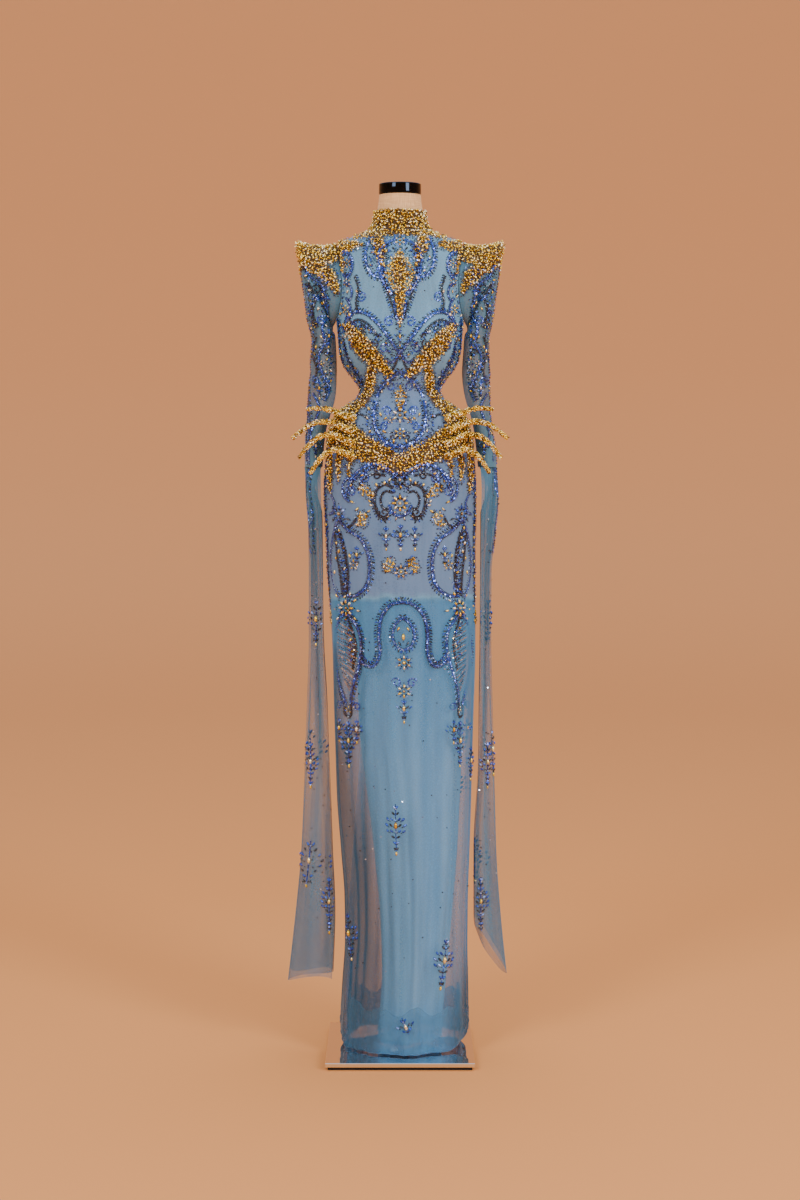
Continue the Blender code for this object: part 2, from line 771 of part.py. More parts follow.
def streamer_grid(table, side, hem_rise):
    """The trailing panel's face: a corrugated sheet that runs from front to back beside the skirt."""
    top, bottom = table[0].height, table[-1].height
    rows = []
    for section in table:
        fallen = (top - section.height) / (top - bottom)
        row = []
        for share in spread(0, 1, STREAMER_COLUMNS):
            hem = bottom + hem_rise * (0.5 + 0.5 * math.cos(2 * math.pi * STREAMER_WAVES * share))
            height = top - (top - hem) * fallen
            gathered = max(0.0, 1 - (top - height) / STREAMER_GATHER)
            slant = 0.25 * math.sin(height / 190.0) * share * (1 - share)
            wave = 0.5 - 0.5 * math.cos(2 * math.pi * STREAMER_WAVES * (share + slant))
            depth = gathered * math.sin(math.pi * share) + (1 - gathered) * wave
            inner, outer = between(table, "inner", height), between(table, "outer", height)
            front, back = between(table, "front", height), between(table, "back", height)
            row.append([side * (inner + (outer - inner) * depth), front + (back - front) * share, height])
        rows.append(row)
    return np.array(rows)


def build_streamers(collection, finish):
    """A long folded panel below each cuff."""
    for side, name, table in ((-1, "streamer_left", STREAMER_LEFT), (1, "streamer_right", STREAMER_RIGHT)):
        grid = streamer_grid(table, side, STREAMER_HEM_RISE[name])
        cloth_wall(name, grid, LINING_WALL, collection, finish, flip=side < 0, level=(0,))


def spray_stops(spray):
    """The middle line of a spray with its radius at each stop, as x, y, height and radius."""
    total = SPRAY_SEATED_STOPS + SPRAY_FREE_STOPS - 1
    radii = spread(SPRAY_ROOT_RADIUS, SPRAY_TIP_RADIUS, total + 1)
    stops = []
    for k in range(SPRAY_SEATED_STOPS):
        share = k / (SPRAY_SEATED_STOPS - 1)
        angle = spray.root_angle + (spray.leave_angle - spray.root_angle) * share
        height = spray.root_height + (spray.leave_height - spray.root_height) * share
        off = TULLE_WALL + STONE_RELIEF + radii[k] + SPRAY_SEAT
        stops.append([*off_skirt(angle, height, off), radii[k]])
    leave = np.array(stops[-1][:3])
    tip = np.array([spray.tip_x, spray.tip_y, spray.tip_height])
    for k in range(1, SPRAY_FREE_STOPS + 1):
        share = k / SPRAY_FREE_STOPS
        place = leave + (tip - leave) * share
        place[1] -= 0.6 * spray.bow * math.sin(math.pi * share)
        place[2] += spray.bow * math.sin(math.pi * share)
        stops.append([*place, radii[SPRAY_SEATED_STOPS + k - 1]])
    return stops


def build_hip_sprays(collection, finish):
    """Stone sprays on each hip, as tapered stems in front of the sleeves."""
    for side, word in ((-1, "left"), (1, "right")):
        for spray in HIP_SPRAYS:
            stops = spray_stops(spray)
            curve = bpy.data.curves.new(f"hip_spray_{spray.name}_{word}", "CURVE")
            curve.dimensions = "3D"
            curve.bevel_depth = MM
            curve.bevel_resolution = 1
            curve.use_fill_caps = True
            line = curve.splines.new("POLY")
            line.points.add(len(stops) - 1)
            for (x, y, height, radius), point in zip(stops, line.points):
                point.co = (side * x * MM, y * MM, height * MM, 1)
                point.radius = radius
            keep(bpy.data.objects.new(curve.name, curve), collection, finish)


def main():
    """Clears the scene and builds the gown and its stand."""
    for obj in list(bpy.data.objects):
        bpy.data.objects.remove(obj)
    gown = bpy.data.collections.new("beaded_evening_gown")
    bpy.context.scene.collection.children.link(gown)

    tulle = material("blue_tulle", (0.20, 0.33, 0.43), 0.8)
    beaded = material("beaded_tulle", (0.24, 0.30, 0.42), 0.5)
    gold = material("gold_stones", (0.80, 0.47, 0.07), 0.25, 0.8)
    linen = material("form_linen", (0.66, 0.55, 0.40), 0.9)
    black_chrome = material("black_chrome", (0.02, 0.02, 0.03), 0.08, 0.9)
    steel = material("satin_steel", (0.55, 0.55, 0.56), 0.3, 1.0)
    mirror = material("mirror_steel", (0.75, 0.75, 0.76), 0.04, 1.0)
    rubber = material("black_rubber", (0.01, 0.01, 0.01), 0.8)

    build_form(gown, linen, black_chrome)
    build_stand(gown, steel, mirror, rubber)
    build_collar(gown, gold)
    build_bodice(gown, beaded)
    build_placket(gown, tulle)
    build_sleeves(gown, beaded)
    build_streamers(gown, tulle)
    build_skirt(gown, beaded)
    build_lining(gown, tulle)
    build_hip_sprays(gown, gold)


main()
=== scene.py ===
"""Looks of a beaded evening gown of sheer tulle on a limbless dress form with a mirror base.

The tables repeat the sizes of the part's source in millimetres, so every cloth piece is a fine thin shell on
its solid's form. Beadwork is drawn flat, as a maker would pounce it: x runs round the body from a centre line
and z is the height. It is then laid on the cloth bead by bead.

Angles run round the figure in degrees: 0 is centre front, 90 the +X side and 180 centre back.
"""

from __future__ import annotations

import logging
import math
from dataclasses import dataclass
from enum import Enum
from itertools import product
from typing import Callable, Iterable, Iterator, NamedTuple, Sequence, TypeVar

import bpy
import numpy as np
from bpy.types import Material, Node, NodeSocket, NodeTree, Object
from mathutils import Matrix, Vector
from mathutils.bvhtree import BVHTree


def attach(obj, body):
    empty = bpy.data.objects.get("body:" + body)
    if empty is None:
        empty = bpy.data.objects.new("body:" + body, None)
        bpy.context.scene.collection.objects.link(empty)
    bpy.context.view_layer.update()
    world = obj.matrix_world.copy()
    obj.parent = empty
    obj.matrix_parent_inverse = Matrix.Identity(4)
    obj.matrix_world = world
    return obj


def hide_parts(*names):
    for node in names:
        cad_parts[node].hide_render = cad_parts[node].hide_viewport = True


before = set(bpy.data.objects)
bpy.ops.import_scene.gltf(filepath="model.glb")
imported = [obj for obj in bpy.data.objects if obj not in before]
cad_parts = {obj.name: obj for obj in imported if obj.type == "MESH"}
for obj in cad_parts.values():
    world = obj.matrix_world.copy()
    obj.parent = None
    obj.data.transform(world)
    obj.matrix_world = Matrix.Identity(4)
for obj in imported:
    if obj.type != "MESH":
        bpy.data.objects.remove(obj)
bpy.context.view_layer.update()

MM = 0.001
LOG = logging.getLogger("gown")
OVAL = ("half_width", "front", "back")  # the columns that an oval section is made from

Array = np.ndarray
Row = TypeVar("Row", bound=tuple)


class Side(Enum):
    """A side of the gown, as the sign of its x."""

    LEFT = -1
    RIGHT = 1

    @property
    def word(self) -> str:
        """The side's name as it stands in a piece's name."""
        return self.name.lower()


class Colour(Enum):
    """The colours that the beads and stones are sorted into."""

    GOLD = "gold"
    CHAMPAGNE = "champagne"
    BLUE = "blue"
    CRYSTAL = "crystal"
    BLACK = "black"


class Cut(Enum):
    """The shapes that a bead or stone comes in."""

    ROUND_STONE = "round_stone"
    NAVETTE = "navette"
    SEED = "seed"


GOLD, CHAMPAGNE, BLUE, CRYSTAL, BLACK = Colour
ROUND_STONE, NAVETTE, SEED = Cut

# Materials


def linear(colour: str) -> tuple[float, float, float, float]:
    """Turns an sRGB hex colour into linear values.

    Args:
        colour: The colour as #RRGGBB.

    Returns:
        Linear red, green and blue, and an alpha of 1.
    """
    channels = [int(colour[k : k + 2], 16) / 255 for k in (1, 3, 5)]
    straight = [c / 12.92 if c <= 0.04045 else ((c + 0.055) / 1.055) ** 2.4 for c in channels]
    return (*straight, 1.0)


Settings = dict[str | int, object]
Links = dict[str | int, Node | NodeSocket]


def set_node(node: Node, settings: Settings | None = None, links: Links | None = None) -> Node:
    """Sets and links a shader node.

    Args:
        node: The node.
        settings: Values for its sockets, for a ramp's stops, or for its own properties.
        links: What feeds its sockets: a socket, or a node for its first output.

    Returns:
        The node.
    """
    for key, value in (settings or {}).items():
        if key == "stops":
            elements = node.color_ramp.elements
            while len(elements) < len(value):
                elements.new(0.5)
            for element, (place, colour) in zip(elements, value):
                element.position, element.color = place, linear(colour)
        elif isinstance(key, int) or key in node.inputs:
            node.inputs[key].default_value = value
        else:
            setattr(node, key, value)
    for key, source in (links or {}).items():
        node.id_data.links.new(source.outputs[0] if isinstance(source, Node) else source, node.inputs[key])
    return node


def add_node(tree: NodeTree, kind: str, settings: Settings | None = None, links: Links | None = None) -> Node:
    """Adds a shader node of the type ShaderNode and kind, set and linked as set_node does it."""
    return set_node(tree.nodes.new(f"ShaderNode{kind}"), settings, links)


def start_material(name: str) -> tuple[Material, NodeTree, Node]:
    """Starts a material with nothing but its shader and output.

    Args:
        name: The material's name.

    Returns:
        The material, its node tree and its Principled shader.
    """
    made = bpy.data.materials.new(name)
    made.use_nodes = True
    return made, made.node_tree, made.node_tree.nodes["Principled BSDF"]


# Painted light on the net's colour ramp: shade hanging free, bounce light by pale cloth, lit bust, dimmer hips
FREE_IN_SHADE, NEAR_BOUNCE_LIT, BUST_TOP_LIT, HIPS_LESS_LIT = 0.0, 0.1, 0.6, 1.0


@dataclass(frozen=True)
class Tulle:
    """Nylon tulle, warp-knitted as a fine net and dyed dusty blue.

    The eye looks through it where it faces the viewer, and sees it thicken to a misty blue where it turns
    away or lies in several layers. Threads bunched by the folds show as long soft streaks, darkened with painted
    shade.
    """

    name: str
    dyes_with_painted_light: tuple[tuple[float, str], ...]  # its colours with painted light and shade, from net hanging free to net on the form
    cover: float  # share that one layer covers, seen square on
    cover_turned: float  # the same where the cloth turns away
    streak: float = 0.15  # how much the bunched threads change that share
    shade: str = "#E2EAF0"  # painted shade in the folds, multiplied into the colour along the streaks
    backing_and_painted_shade: str = "#4A3516"  # thread and foil backs, with painted shade, seen between densely set stones
    streaks_per_metre: float = 50.0
    net_mm: float = 5.0  # the real net is 1.5 mm, too fine to show, so it is drawn this coarse

    def material(self) -> Material:
        """The tulle's material, which reads the UV map in metres and each point's worked, layers and
        painted-light tone.
        """
        made, tree, shader = start_material(self.name)
        chart = add_node(tree, "TexCoord").outputs["UV"]
        worked, layers, tone = (
            add_node(tree, "Attribute", {"attribute_name": name}).outputs["Fac"]
            for name in ("worked", "layers", "tone")
        )
        grain = add_node(tree, "Mapping", {"Scale": (self.streaks_per_metre, 5.0, 1.0)}, {"Vector": chart})
        clumps = {"Scale": 1.0, "Detail": 3.0, "Roughness": 0.55}
        bunched = add_node(tree, "TexNoise", clumps, {"Vector": grain})
        cells = {"feature": "DISTANCE_TO_EDGE", "Scale": 1000 / self.net_mm}
        net = add_node(tree, "TexVoronoi", cells, {"Vector": chart})
        net_line = add_node(
            tree, "MapRange", {"From Max": 0.25, "To Min": 0.04, "To Max": -0.02}, {"Value": net})
        turned = add_node(tree, "LayerWeight", {"Blend": 0.35}).outputs["Facing"]
        covers = {"To Min": self.cover, "To Max": self.cover_turned}
        thick = add_node(tree, "MapRange", covers, {"Value": turned})
        ends = {"From Min": 0.25, "From Max": 0.75, "To Min": 1 - self.streak, "To Max": 1 + self.streak}
        uneven = add_node(tree, "MapRange", ends, {"Value": bunched})
        streaked = add_node(tree, "Math", {"operation": "MULTIPLY_ADD"}, {0: thick, 1: uneven, 2: net_line})
        layered = add_node(tree, "Math", {"operation": "MULTIPLY"}, {0: streaked, 1: layers})
        covered = add_node(tree, "Math", {"operation": "MAXIMUM", "use_clamp": True}, {0: layered, 1: worked})
        # The colour ramp paints light and shade on the net: darker where it hangs free, lighter before pale cloth
        # and on the bust.
        dyed = add_node(tree, "ValToRGB", {"stops": self.dyes_with_painted_light}, {"Fac": tone}).outputs["Color"]
        # Painted shade: the colour is darkened along the bunched streaks, as in folds.
        shaded = add_node(tree, "MapRange", {"From Min": 0.7, "From Max": 0.3}, {"Value": bunched})
        # Painted shade: between densely set stones the colour turns to a dark brown of thread backs and shade.
        for blend, share, colour in (("MULTIPLY", shaded, self.shade), ("MIX", worked, self.backing_and_painted_shade)):
            mix = {"data_type": "RGBA", "blend_type": blend, 7: linear(colour)}
            dyed = add_node(tree, "Mix", mix, {"Factor": share, 6: dyed}).outputs[2]
        crease = add_node(tree, "Bump", {"Strength": 0.12, "Distance": 0.001}, {"Height": bunched})
        gloss = {"Roughness": 0.75, "Specular IOR Level": 0.25, "Sheen Weight": 0.25, "Sheen Roughness": 0.4}
        set_node(shader, gloss, {"Base Color": dyed, "Alpha": covered, "Normal": crease})
        return made


@dataclass(frozen=True)
class Stones:
    """Faceted acrylic stones with a foil back, or glass beads, moulded and polished.

    Flat bright facets flash and go dark by turns, and no two stones have quite the same tone.
    """

    name: str
    tones: tuple[tuple[float, str], ...]
    metallic: float
    roughness: float
    coat: float = 0.6

    def material(self) -> Material:
        """The stones' material, which reads each stone's own tone from the attribute tone."""
        made, tree, shader = start_material(self.name)
        tone = add_node(tree, "Attribute", {"attribute_name": "tone"}).outputs["Fac"]
        colour = add_node(tree, "ValToRGB", {"stops": self.tones}, {"Fac": tone})
        gloss = {"Metallic": self.metallic, "Roughness": self.roughness, "Coat Weight": self.coat}
        set_node(shader, {**gloss, "Coat Roughness": 0.03}, {"Base Color": colour})
        return made


@dataclass(frozen=True)
class Linen:
    """Cream linen drawn tight over a moulded torso: a fine plain weave with slubs, and no shine."""

    name: str = "form_linen_woven"
    pale: str = "#EDC48E"
    dark: str = "#D0A774"
    thread_mm: float = 1.6  # real threads are 0.6 mm, drawn coarser so that they show

    def material(self) -> Material:
        """The woven cover's material."""
        made, tree, shader = start_material(self.name)
        place = add_node(tree, "TexCoord").outputs["Object"]
        per_metre = 1000 / self.thread_mm
        threads = []
        for scale in ((40, 40, per_metre), (per_metre, per_metre, 40)):
            stretched = add_node(tree, "Mapping", {"Scale": scale}, {"Vector": place})
            threads.append(add_node(tree, "TexNoise", {"Scale": 1.0, "Detail": 2.0}, {"Vector": stretched}))
        weave = add_node(tree, "Math", {"operation": "MULTIPLY"}, dict(enumerate(threads)))
        tone = add_node(tree, "ValToRGB", {"stops": ((0.15, self.dark), (0.38, self.pale))}, {"Fac": weave})
        bump = add_node(tree, "Bump", {"Strength": 0.35, "Distance": 0.0006}, {"Height": weave})
        set_node(shader, {"Roughness": 0.88, "Sheen Weight": 0.15}, {"Base Color": tone, "Normal": bump})
        return made


@dataclass(frozen=True)
class Metal:
    """Polished, brushed or lacquered metal, with faint handling marks in its gloss."""

    name: str
    colour: str
    metallic: float
    roughness: float
    marks: float = 0.04
    coat: float = 0.0
    marks_per_metre: tuple[float, float, float] = (60.0, 60.0, 60.0)

    def material(self) -> Material:
        """The metal's material."""
        made, tree, shader = start_material(self.name)
        place = add_node(tree, "TexCoord").outputs["Object"]
        stretched = add_node(tree, "Mapping", {"Scale": self.marks_per_metre}, {"Vector": place})
        streaks = {"Scale": 1.0, "Detail": 6.0, "Roughness": 0.65}
        wear = add_node(tree, "TexNoise", streaks, {"Vector": stretched})
        ends = {
            "From Min": 0.35, "From Max": 0.75,
            "To Min": self.roughness, "To Max": self.roughness + self.marks}
        gloss = add_node(tree, "MapRange", ends, {"Value": wear})
        metal = {"Base Color": linear(self.colour), "Metallic": self.metallic, "Coat Weight": self.coat}
        set_node(shader, {**metal, "Coat Roughness": 0.02}, {"Roughness": gloss})
        return made


FINISHES = {
    # The skirt net's colour ramp is painted light: shaded where it hangs free, bounce-lit before pale cloth, lit
    # on the bust.
    "skirt": Tulle(
        "tulle_single", ((FREE_IN_SHADE, "#325B78"), (NEAR_BOUNCE_LIT, "#4A90C4"), (BUST_TOP_LIT, "#71A7CC"), (HIPS_LESS_LIT, "#6686AE")),
    cover=0.38, cover_turned=0.88, streak=0.12),
    "inner": Tulle(
    "tulle_layered", ((0.0, "#A2D8FF"), (1.0, "#A2D8FF")), cover=0.9, cover_turned=0.97, streak=0.04),
    "sleeve": Tulle("tulle_sleeve", ((0.0, "#527F99"), (1.0, "#47748F")), cover=0.60, cover_turned=0.92),
    "streamer": Tulle("tulle_streamer", ((0.0, "#487A9A"), (1.0, "#3E6B88")), cover=0.42, cover_turned=0.88)
}
STONE_FINISHES = {
    GOLD: Stones(
        "gold_foiled_acrylic",
        ((0.0, "#4E3806"), (0.16, "#B4880F"), (0.38, "#EFC22A"), (0.66, "#FFE262"), (1.0, "#FFFBE6")),
    metallic=0.6, roughness=0.15),
    CHAMPAGNE: Stones(
        "champagne_foiled_acrylic", ((0.0, "#8A6A3A"), (0.5, "#CFAE72"), (1.0, "#F7E9CC")), metallic=0.7,
    roughness=0.14),
    BLUE: Stones(
        "blue_lustre_glass", ((0.0, "#0A1850"), (0.45, "#1B44B4"), (0.85, "#3068E4"), (1.0, "#9DC0FF")),
    metallic=0.45, roughness=0.2),
    CRYSTAL: Stones(
    "ice_blue_cut_glass", ((0.0, "#7F9ED8"), (1.0, "#EAF3FF")), metallic=0.6, roughness=0.08, coat=1.0),
    BLACK: Stones(
        "gunmetal_lustre_glass", ((0.0, "#08090C"), (0.6, "#1D222C"), (1.0, "#4A5464")), metallic=0.5,
    roughness=0.18)}
LINEN = Linen()
BLACK_GLOSS = Metal("black_chromed_steel", "#1E242E", 1.0, 0.05, marks=0.03)
MIRROR = Metal("mirror_polished_stainless", "#EEF0F2", 1.0, 0.015, marks=0.05)
SATIN = Metal("satin_stainless", "#B9BABC", 1.0, 0.25, marks=0.12, marks_per_metre=(900, 900, 12))
RUBBER = Metal("moulded_black_rubber", "#0B0B0C", 0.0, 0.7, marks=0.15)


def shared(finish: Tulle | Stones) -> Material:
    """The material of a finish, built once for all the pieces that have it."""
    return bpy.data.materials.get(finish.name) or finish.material()


# Shapes from tables


COLOURS = {colour.value: colour for colour in Colour}


def table(kind: Callable[..., Row], text: str, mark: str = ";") -> tuple[Row, ...]:
    """Reads a table written as text.

    Args:
        kind: What makes a row from its numbers and colours.
        text: The rows.
        mark: What stands between two rows.

    Returns:
        The rows.
    """
    rows = (row.replace(",", " ").split() for row in text.split(mark))
    return tuple(kind(*(COLOURS.get(word) or float(word) for word in row)) for row in rows)


def eased(values: Array, slopes: Array, k: Array, span: Array, share: Array) -> Array:
    """Values between stops on a smooth line.

    Args:
        values: The values at the stops.
        slopes: The slopes there.
        k: The stop before each place.
        span: The distance from it to the next one.
        share: How far along that distance the place lies, from 0 to 1.

    Returns:
        The values.
    """
    left, right = (1 - share) ** 2, share * share
    start = values[k] * (1 + 2 * share) * left + slopes[k] * span * share * left
    return start + values[k + 1] * right * (3 - 2 * share) + slopes[k + 1] * span * right * (share - 1)


def folds(turn: Array, count: int, drift: Array) -> Array:
    """How deep hanging folds are round a skirt, as a share: two waves that drift apart down the cloth."""
    return 0.62 * np.sin(count * turn + drift + 0.4) + 0.38 * np.sin((count - 4) * turn - drift + 1.9)


class Profile:
    """A smooth line through one column of a table, read at any height."""

    def __init__(self, heights: Sequence[float], values: Sequence[float]) -> None:
        """Sets up the line.

        Args:
            heights: The table's heights in any order.
            values: The column's values at those heights.
        """
        order = np.argsort(heights)
        self.h = np.asarray(heights, float)[order]
        self.v = np.asarray(values, float)[order]
        step = np.diff(self.h)
        rise = np.diff(self.v) / step
        slope = np.zeros(len(self.h))
        slope[0], slope[-1] = rise[0], rise[-1]
        same_way = rise[1:] * rise[:-1] > 0
        mean = 2 * rise[1:] * rise[:-1] / np.where(same_way, rise[1:] + rise[:-1], 1)
        slope[1:-1] = np.where(same_way, mean, 0)
        self.slope = slope

    def __call__(self, height: Array | float) -> Array:
        """Reads the line; past its ends it keeps its last value.

        Args:
            height: Heights.

        Returns:
            The column's values there.
        """
        height = np.clip(np.asarray(height, float), self.h[0], self.h[-1])
        k = np.clip(np.searchsorted(self.h, height) - 1, 0, len(self.h) - 2)
        span = self.h[k + 1] - self.h[k]
        return eased(self.v, self.slope, k, span, (height - self.h[k]) / span)


class Section(NamedTuple):
    """An oval section with unlike depths to the front and to the back."""

    height: float
    half_width: float
    front: float
    back: float


class SkirtSection(NamedTuple):
    """A section of the outer skirt: its shift to +X and how deep its folds are."""

    height: float
    shift: float
    half_width: float
    front: float
    back: float
    fold: float


class LiningSection(NamedTuple):
    """A section of the inner skirt, by its left and right edge in the front view."""

    height: float
    left: float
    right: float
    front: float
    back: float
    fold: float


class HeadRing(NamedTuple):
    """A ring of the pointed sleeve head, fanned out from the armpit."""

    tilt: float
    reach: float
    half_depth: float


class ArmRing(NamedTuple):
    """A ring of the sleeve's arm, by its inner and outer edge on the -X and the +X arm."""

    height: float
    inner_left: float
    outer_left: float
    inner_right: float
    outer_right: float
    half_depth: float
    centre_y: float


class StreamerSection(NamedTuple):
    """A section of a trailing panel: its edges from the centre plane, and its front and back."""

    height: float
    inner: float
    outer: float
    front: float
    back: float


def oval(
        angle: Array, height: Array, wide: Array, front: Array, back: Array, shift: Array | float = 0.0) -> Array:
    """Points on an oval section.

    Args:
        angle: Angles in degrees.
        height: Heights.
        wide: The half width.
        front: The depth to the front.
        back: The depth to the back.
        shift: The x of the section's middle.

    Returns:
        Points in millimetres.
    """
    turn = np.radians(angle)
    depth = np.where(np.cos(turn) > 0, front, back)
    x, y = wide * np.sin(turn) + shift, -depth * np.cos(turn)
    return np.stack(np.broadcast_arrays(x, y, height + 0 * x), axis=-1)


def profiles(rows: Sequence[NamedTuple]) -> dict[str, Profile]:
    """A smooth line through each column of a table whose first column is the height."""
    heights = [row.height for row in rows]
    return {name: Profile(heights, [getattr(row, name) for row in rows]) for name in rows[0]._fields[1:]}


def travelled(steps: Array) -> Array:
    """How far along a line each of its stops lies, from the lengths of its steps."""
    return np.concatenate([[0], np.cumsum(steps)])


def walk(line: Array, travel: Array, stations: Array) -> Array:
    """The points at stations along a line whose stops lie at those distances."""
    return np.stack([np.interp(stations, travel, column) for column in line.T], axis=1)


def ramp(value: Array, none: float, full: float) -> Array:
    """A share that grows evenly from 0 at one value to 1 at another one, which may be the lower."""
    return np.clip((value - none) / (full - none), 0, 1)


def unit(vectors: Array) -> Array:
    """Vectors of length 1."""
    return vectors / np.maximum(np.linalg.norm(vectors, axis=-1, keepdims=True), 1e-9)


def level_normals(surface: Callable[[Array, Array], Array], angle: Array, height: Array) -> Array:
    """The level part of the unit normals on the outside of a surface.

    Args:
        surface: Gives the surface's points for angles and heights.
        angle: Angles in degrees.
        height: Heights.

    Returns:
        Vectors with no z, up to 1 long.
    """
    along = surface(angle + 1, height) - surface(angle - 1, height)
    down = surface(angle, height - 2) - surface(angle, height + 2)
    return unit(np.cross(down, along)) * (1, 1, 0)


def wander(u: Array, v: Array, seed: int, parts: int = 5) -> Array:
    """Soft unevenness without a texture: a few sine waves in unlike directions.

    Args:
        u: First coordinate, about one wave for each 1.0.
        v: Second coordinate.
        seed: Picks the waves.
        parts: How many waves.

    Returns:
        Values between about -1 and 1.
    """
    rng = np.random.default_rng(seed)
    total = np.zeros(np.broadcast(u, v).shape)
    for k in range(parts):
        way = rng.uniform(0, math.pi)
        total = total + np.sin(
            2 * math.pi * (0.6 + 0.35 * k) * (np.cos(way) * u + np.sin(way) * v) + rng.uniform(0, 6.28))
    return total / parts * 1.4


class Crease(NamedTuple):
    """A soft ridge or trough in the cloth, from one place to another on its chart."""

    angle: float
    height: float
    end_angle: float
    end_height: float
    width: float
    depth: float


def creased(angle: Array, height: Array, creases: Iterable[Crease], mm_per_degree: float) -> Array:
    """How far the listed creases move the cloth out.

    Args:
        angle: Angles of the cloth's points.
        height: Heights of the cloth's points.
        creases: The creases.
        mm_per_degree: The chart's width of one degree.

    Returns:
        The distance out, in millimetres.
    """
    total = np.zeros(np.broadcast(angle, height).shape)
    for crease in creases:
        run = np.array([(crease.end_angle - crease.angle) * mm_per_degree, crease.end_height - crease.height])
        px = (angle - crease.angle) * mm_per_degree
        pz = height - crease.height
        share = np.clip((px * run[0] + pz * run[1]) / (run @ run), 0, 1)
        away = np.hypot(px - share * run[0], pz - share * run[1])
        fade = np.sin(math.pi * np.clip(0.08 + 0.84 * share, 0, 1))
        total = total + crease.depth * fade * np.exp(-((away / crease.width) ** 2))
    return total


class Torso:
    """The gown's body surface, bodice above the waist seam and skirt below it, with its flat chart."""

    WAIST = 1300.0
    EASE = 2.0
    CUP = (60.0, 1420.0, 17.0, 42.0, 44.0)  # x, height, depth, width, rise
    FIGURE = table(Section, """
        1709 42 42 42; 1690 44 43 44; 1672 47 45 47; 1655 50 48 50; 1642 55 51 56; 1634 64 54 62;
        1628 77 57 67; 1621 98 61 73; 1613 117 66 79; 1602 126 71 84; 1585 130 77 90; 1560 131 84 95;
        1535 130.4 89 98; 1510 129 93 99; 1485 127.8 96 99; 1455 125.4 99 96.5; 1425 122.6 100 91;
        1395 120 97 85; 1367 110.6 90 80; 1341 90.6 82 76; 1318 78 76 74; 1300 88 78 78; 1285 108 82 84;
        1268 126 86 92; 1245 137 90 99; 1215 143 93 105; 1170 146 95 111; 1120 147 95 114; 1060 145 94 115;
        1000 142 91 111; 950 139 88 104; 907 135 86 97""")
    SKIRT = table(SkirtSection, """
        1300 0 89.4 79.4 79.4 0; 1285 0 109.2 83.2 85.2 0; 1268 0 127.2 87.2 93.2 0;
        1245 0 138.4 91.4 100.4 0; 1215 0 144.6 94.6 106.6 0; 1192 0 146.4 95.9 110 0; 1170 0 148 97 113 0;
        1120 0 150.4 98 117 0; 1060 0.6 149.6 98.2 119.2 0; 1000 1.4 147.8 96 116 0.3;
        950 2.4 146.4 93.4 110 0.8; 907 4 145.6 92.6 104.6 1.4; 845 6.5 143.5 92 102 2.4;
        775 8 142 92 101 3.2; 700 8 140 92 101 3.8; 600 8.5 137 93 102 4.2; 500 9 134 94 103 4.4;
        400 11 128.5 95 104 4.6; 300 12.5 123 97 105 4.8; 215 12 122 100 106 5; 140 10 125 104 108 5;
        85 8.5 127 107 110 4.6""")
    FOLDS = 10
    CHART_ROWS = 220
    CHART_COLUMNS = 181

    def __init__(self) -> None:
        """Reads the tables and works out the chart."""
        self.figure, self.skirt = profiles(self.FIGURE), profiles(self.SKIRT)
        self.chart_heights = np.linspace(30, 1640, self.CHART_ROWS)
        angles = np.linspace(0, 180, self.CHART_COLUMNS)
        rows = self.plain(angles[None, :], self.chart_heights[:, None])
        steps = np.linalg.norm(np.diff(rows[..., :2], axis=1), axis=2)
        self.arcs = np.concatenate([np.zeros((self.CHART_ROWS, 1)), np.cumsum(steps, axis=1)], axis=1)
        self.girth = self.arcs[:, -1]
        shares = np.linspace(0, 1, self.CHART_COLUMNS)
        self.unrolled = np.array([np.interp(shares, row / row[-1], angles) for row in self.arcs])

    def plain(self, angle: Array, height: Array) -> Array:
        """The surface without folds, for the chart."""
        below = oval(angle, height, *(self.skirt[name](height) for name in (*OVAL, "shift")))
        return np.where((height >= self.WAIST)[..., None], self.figure_point(angle, height), below)

    def figure_point(self, angle: Array, height: Array, cup_share: float = 1.0) -> Array:
        """Points on the figure itself.

        Args:
            angle: Angles in degrees.
            height: Heights.
            cup_share: How much of the bust cups shows.

        Returns:
            Points in millimetres.
        """
        points = oval(angle, height, *(self.figure[name](height) for name in OVAL))
        cup_x, cup_height, depth, width, rise = self.CUP
        aside = (np.abs(points[..., 0]) - cup_x) / width
        out = depth * np.exp(-(aside**2) - ((height - cup_height) / rise) ** 2)
        points[..., 1] -= np.where(np.cos(np.radians(angle)) > 0, cup_share * out, 0)
        return points

    def bodice_point(self, angle: Array, height: Array, off: float = 0.0) -> Array:
        """Points on the bodice's cloth, or that far off it.

        Args:
            angle: Angles in degrees.
            height: Heights.
            off: Distance off the cloth.

        Returns:
            Points in millimetres.
        """
        height = np.asarray(height, float)
        level = level_normals(self.figure_point, angle, height)
        steep = np.maximum(np.sum(level * level, axis=-1, keepdims=True), 0.12)
        return self.figure_point(angle, height) + level * (self.EASE + off) / steep

    def skirt_point(self, angle: Array, height: Array) -> Array:
        """Points on the outer skirt's cloth.

        Args:
            angle: Angles in degrees.
            height: Heights.

        Returns:
            Points in millimetres.
        """
        height = np.asarray(height, float)
        turn = np.radians(angle)
        drift = 0.9 * np.sin(height / 310.0 + 1.0)
        uneven = 0.55 + 0.45 * np.sin(5 * turn + height / 150.0)
        fine = np.sin(27 * turn + 2.2 * np.sin(3 * turn + 0.7) + drift) * uneven
        fold = self.skirt["fold"](height)
        push = 0.8 + fold * folds(turn, self.FOLDS, 0.35 * np.sin(height / 260.0)) + 0.42 * fold * fine
        wide, front, back = (self.skirt[name](height) + push for name in OVAL)
        return oval(angle, height, wide, front, back, self.skirt["shift"](height))

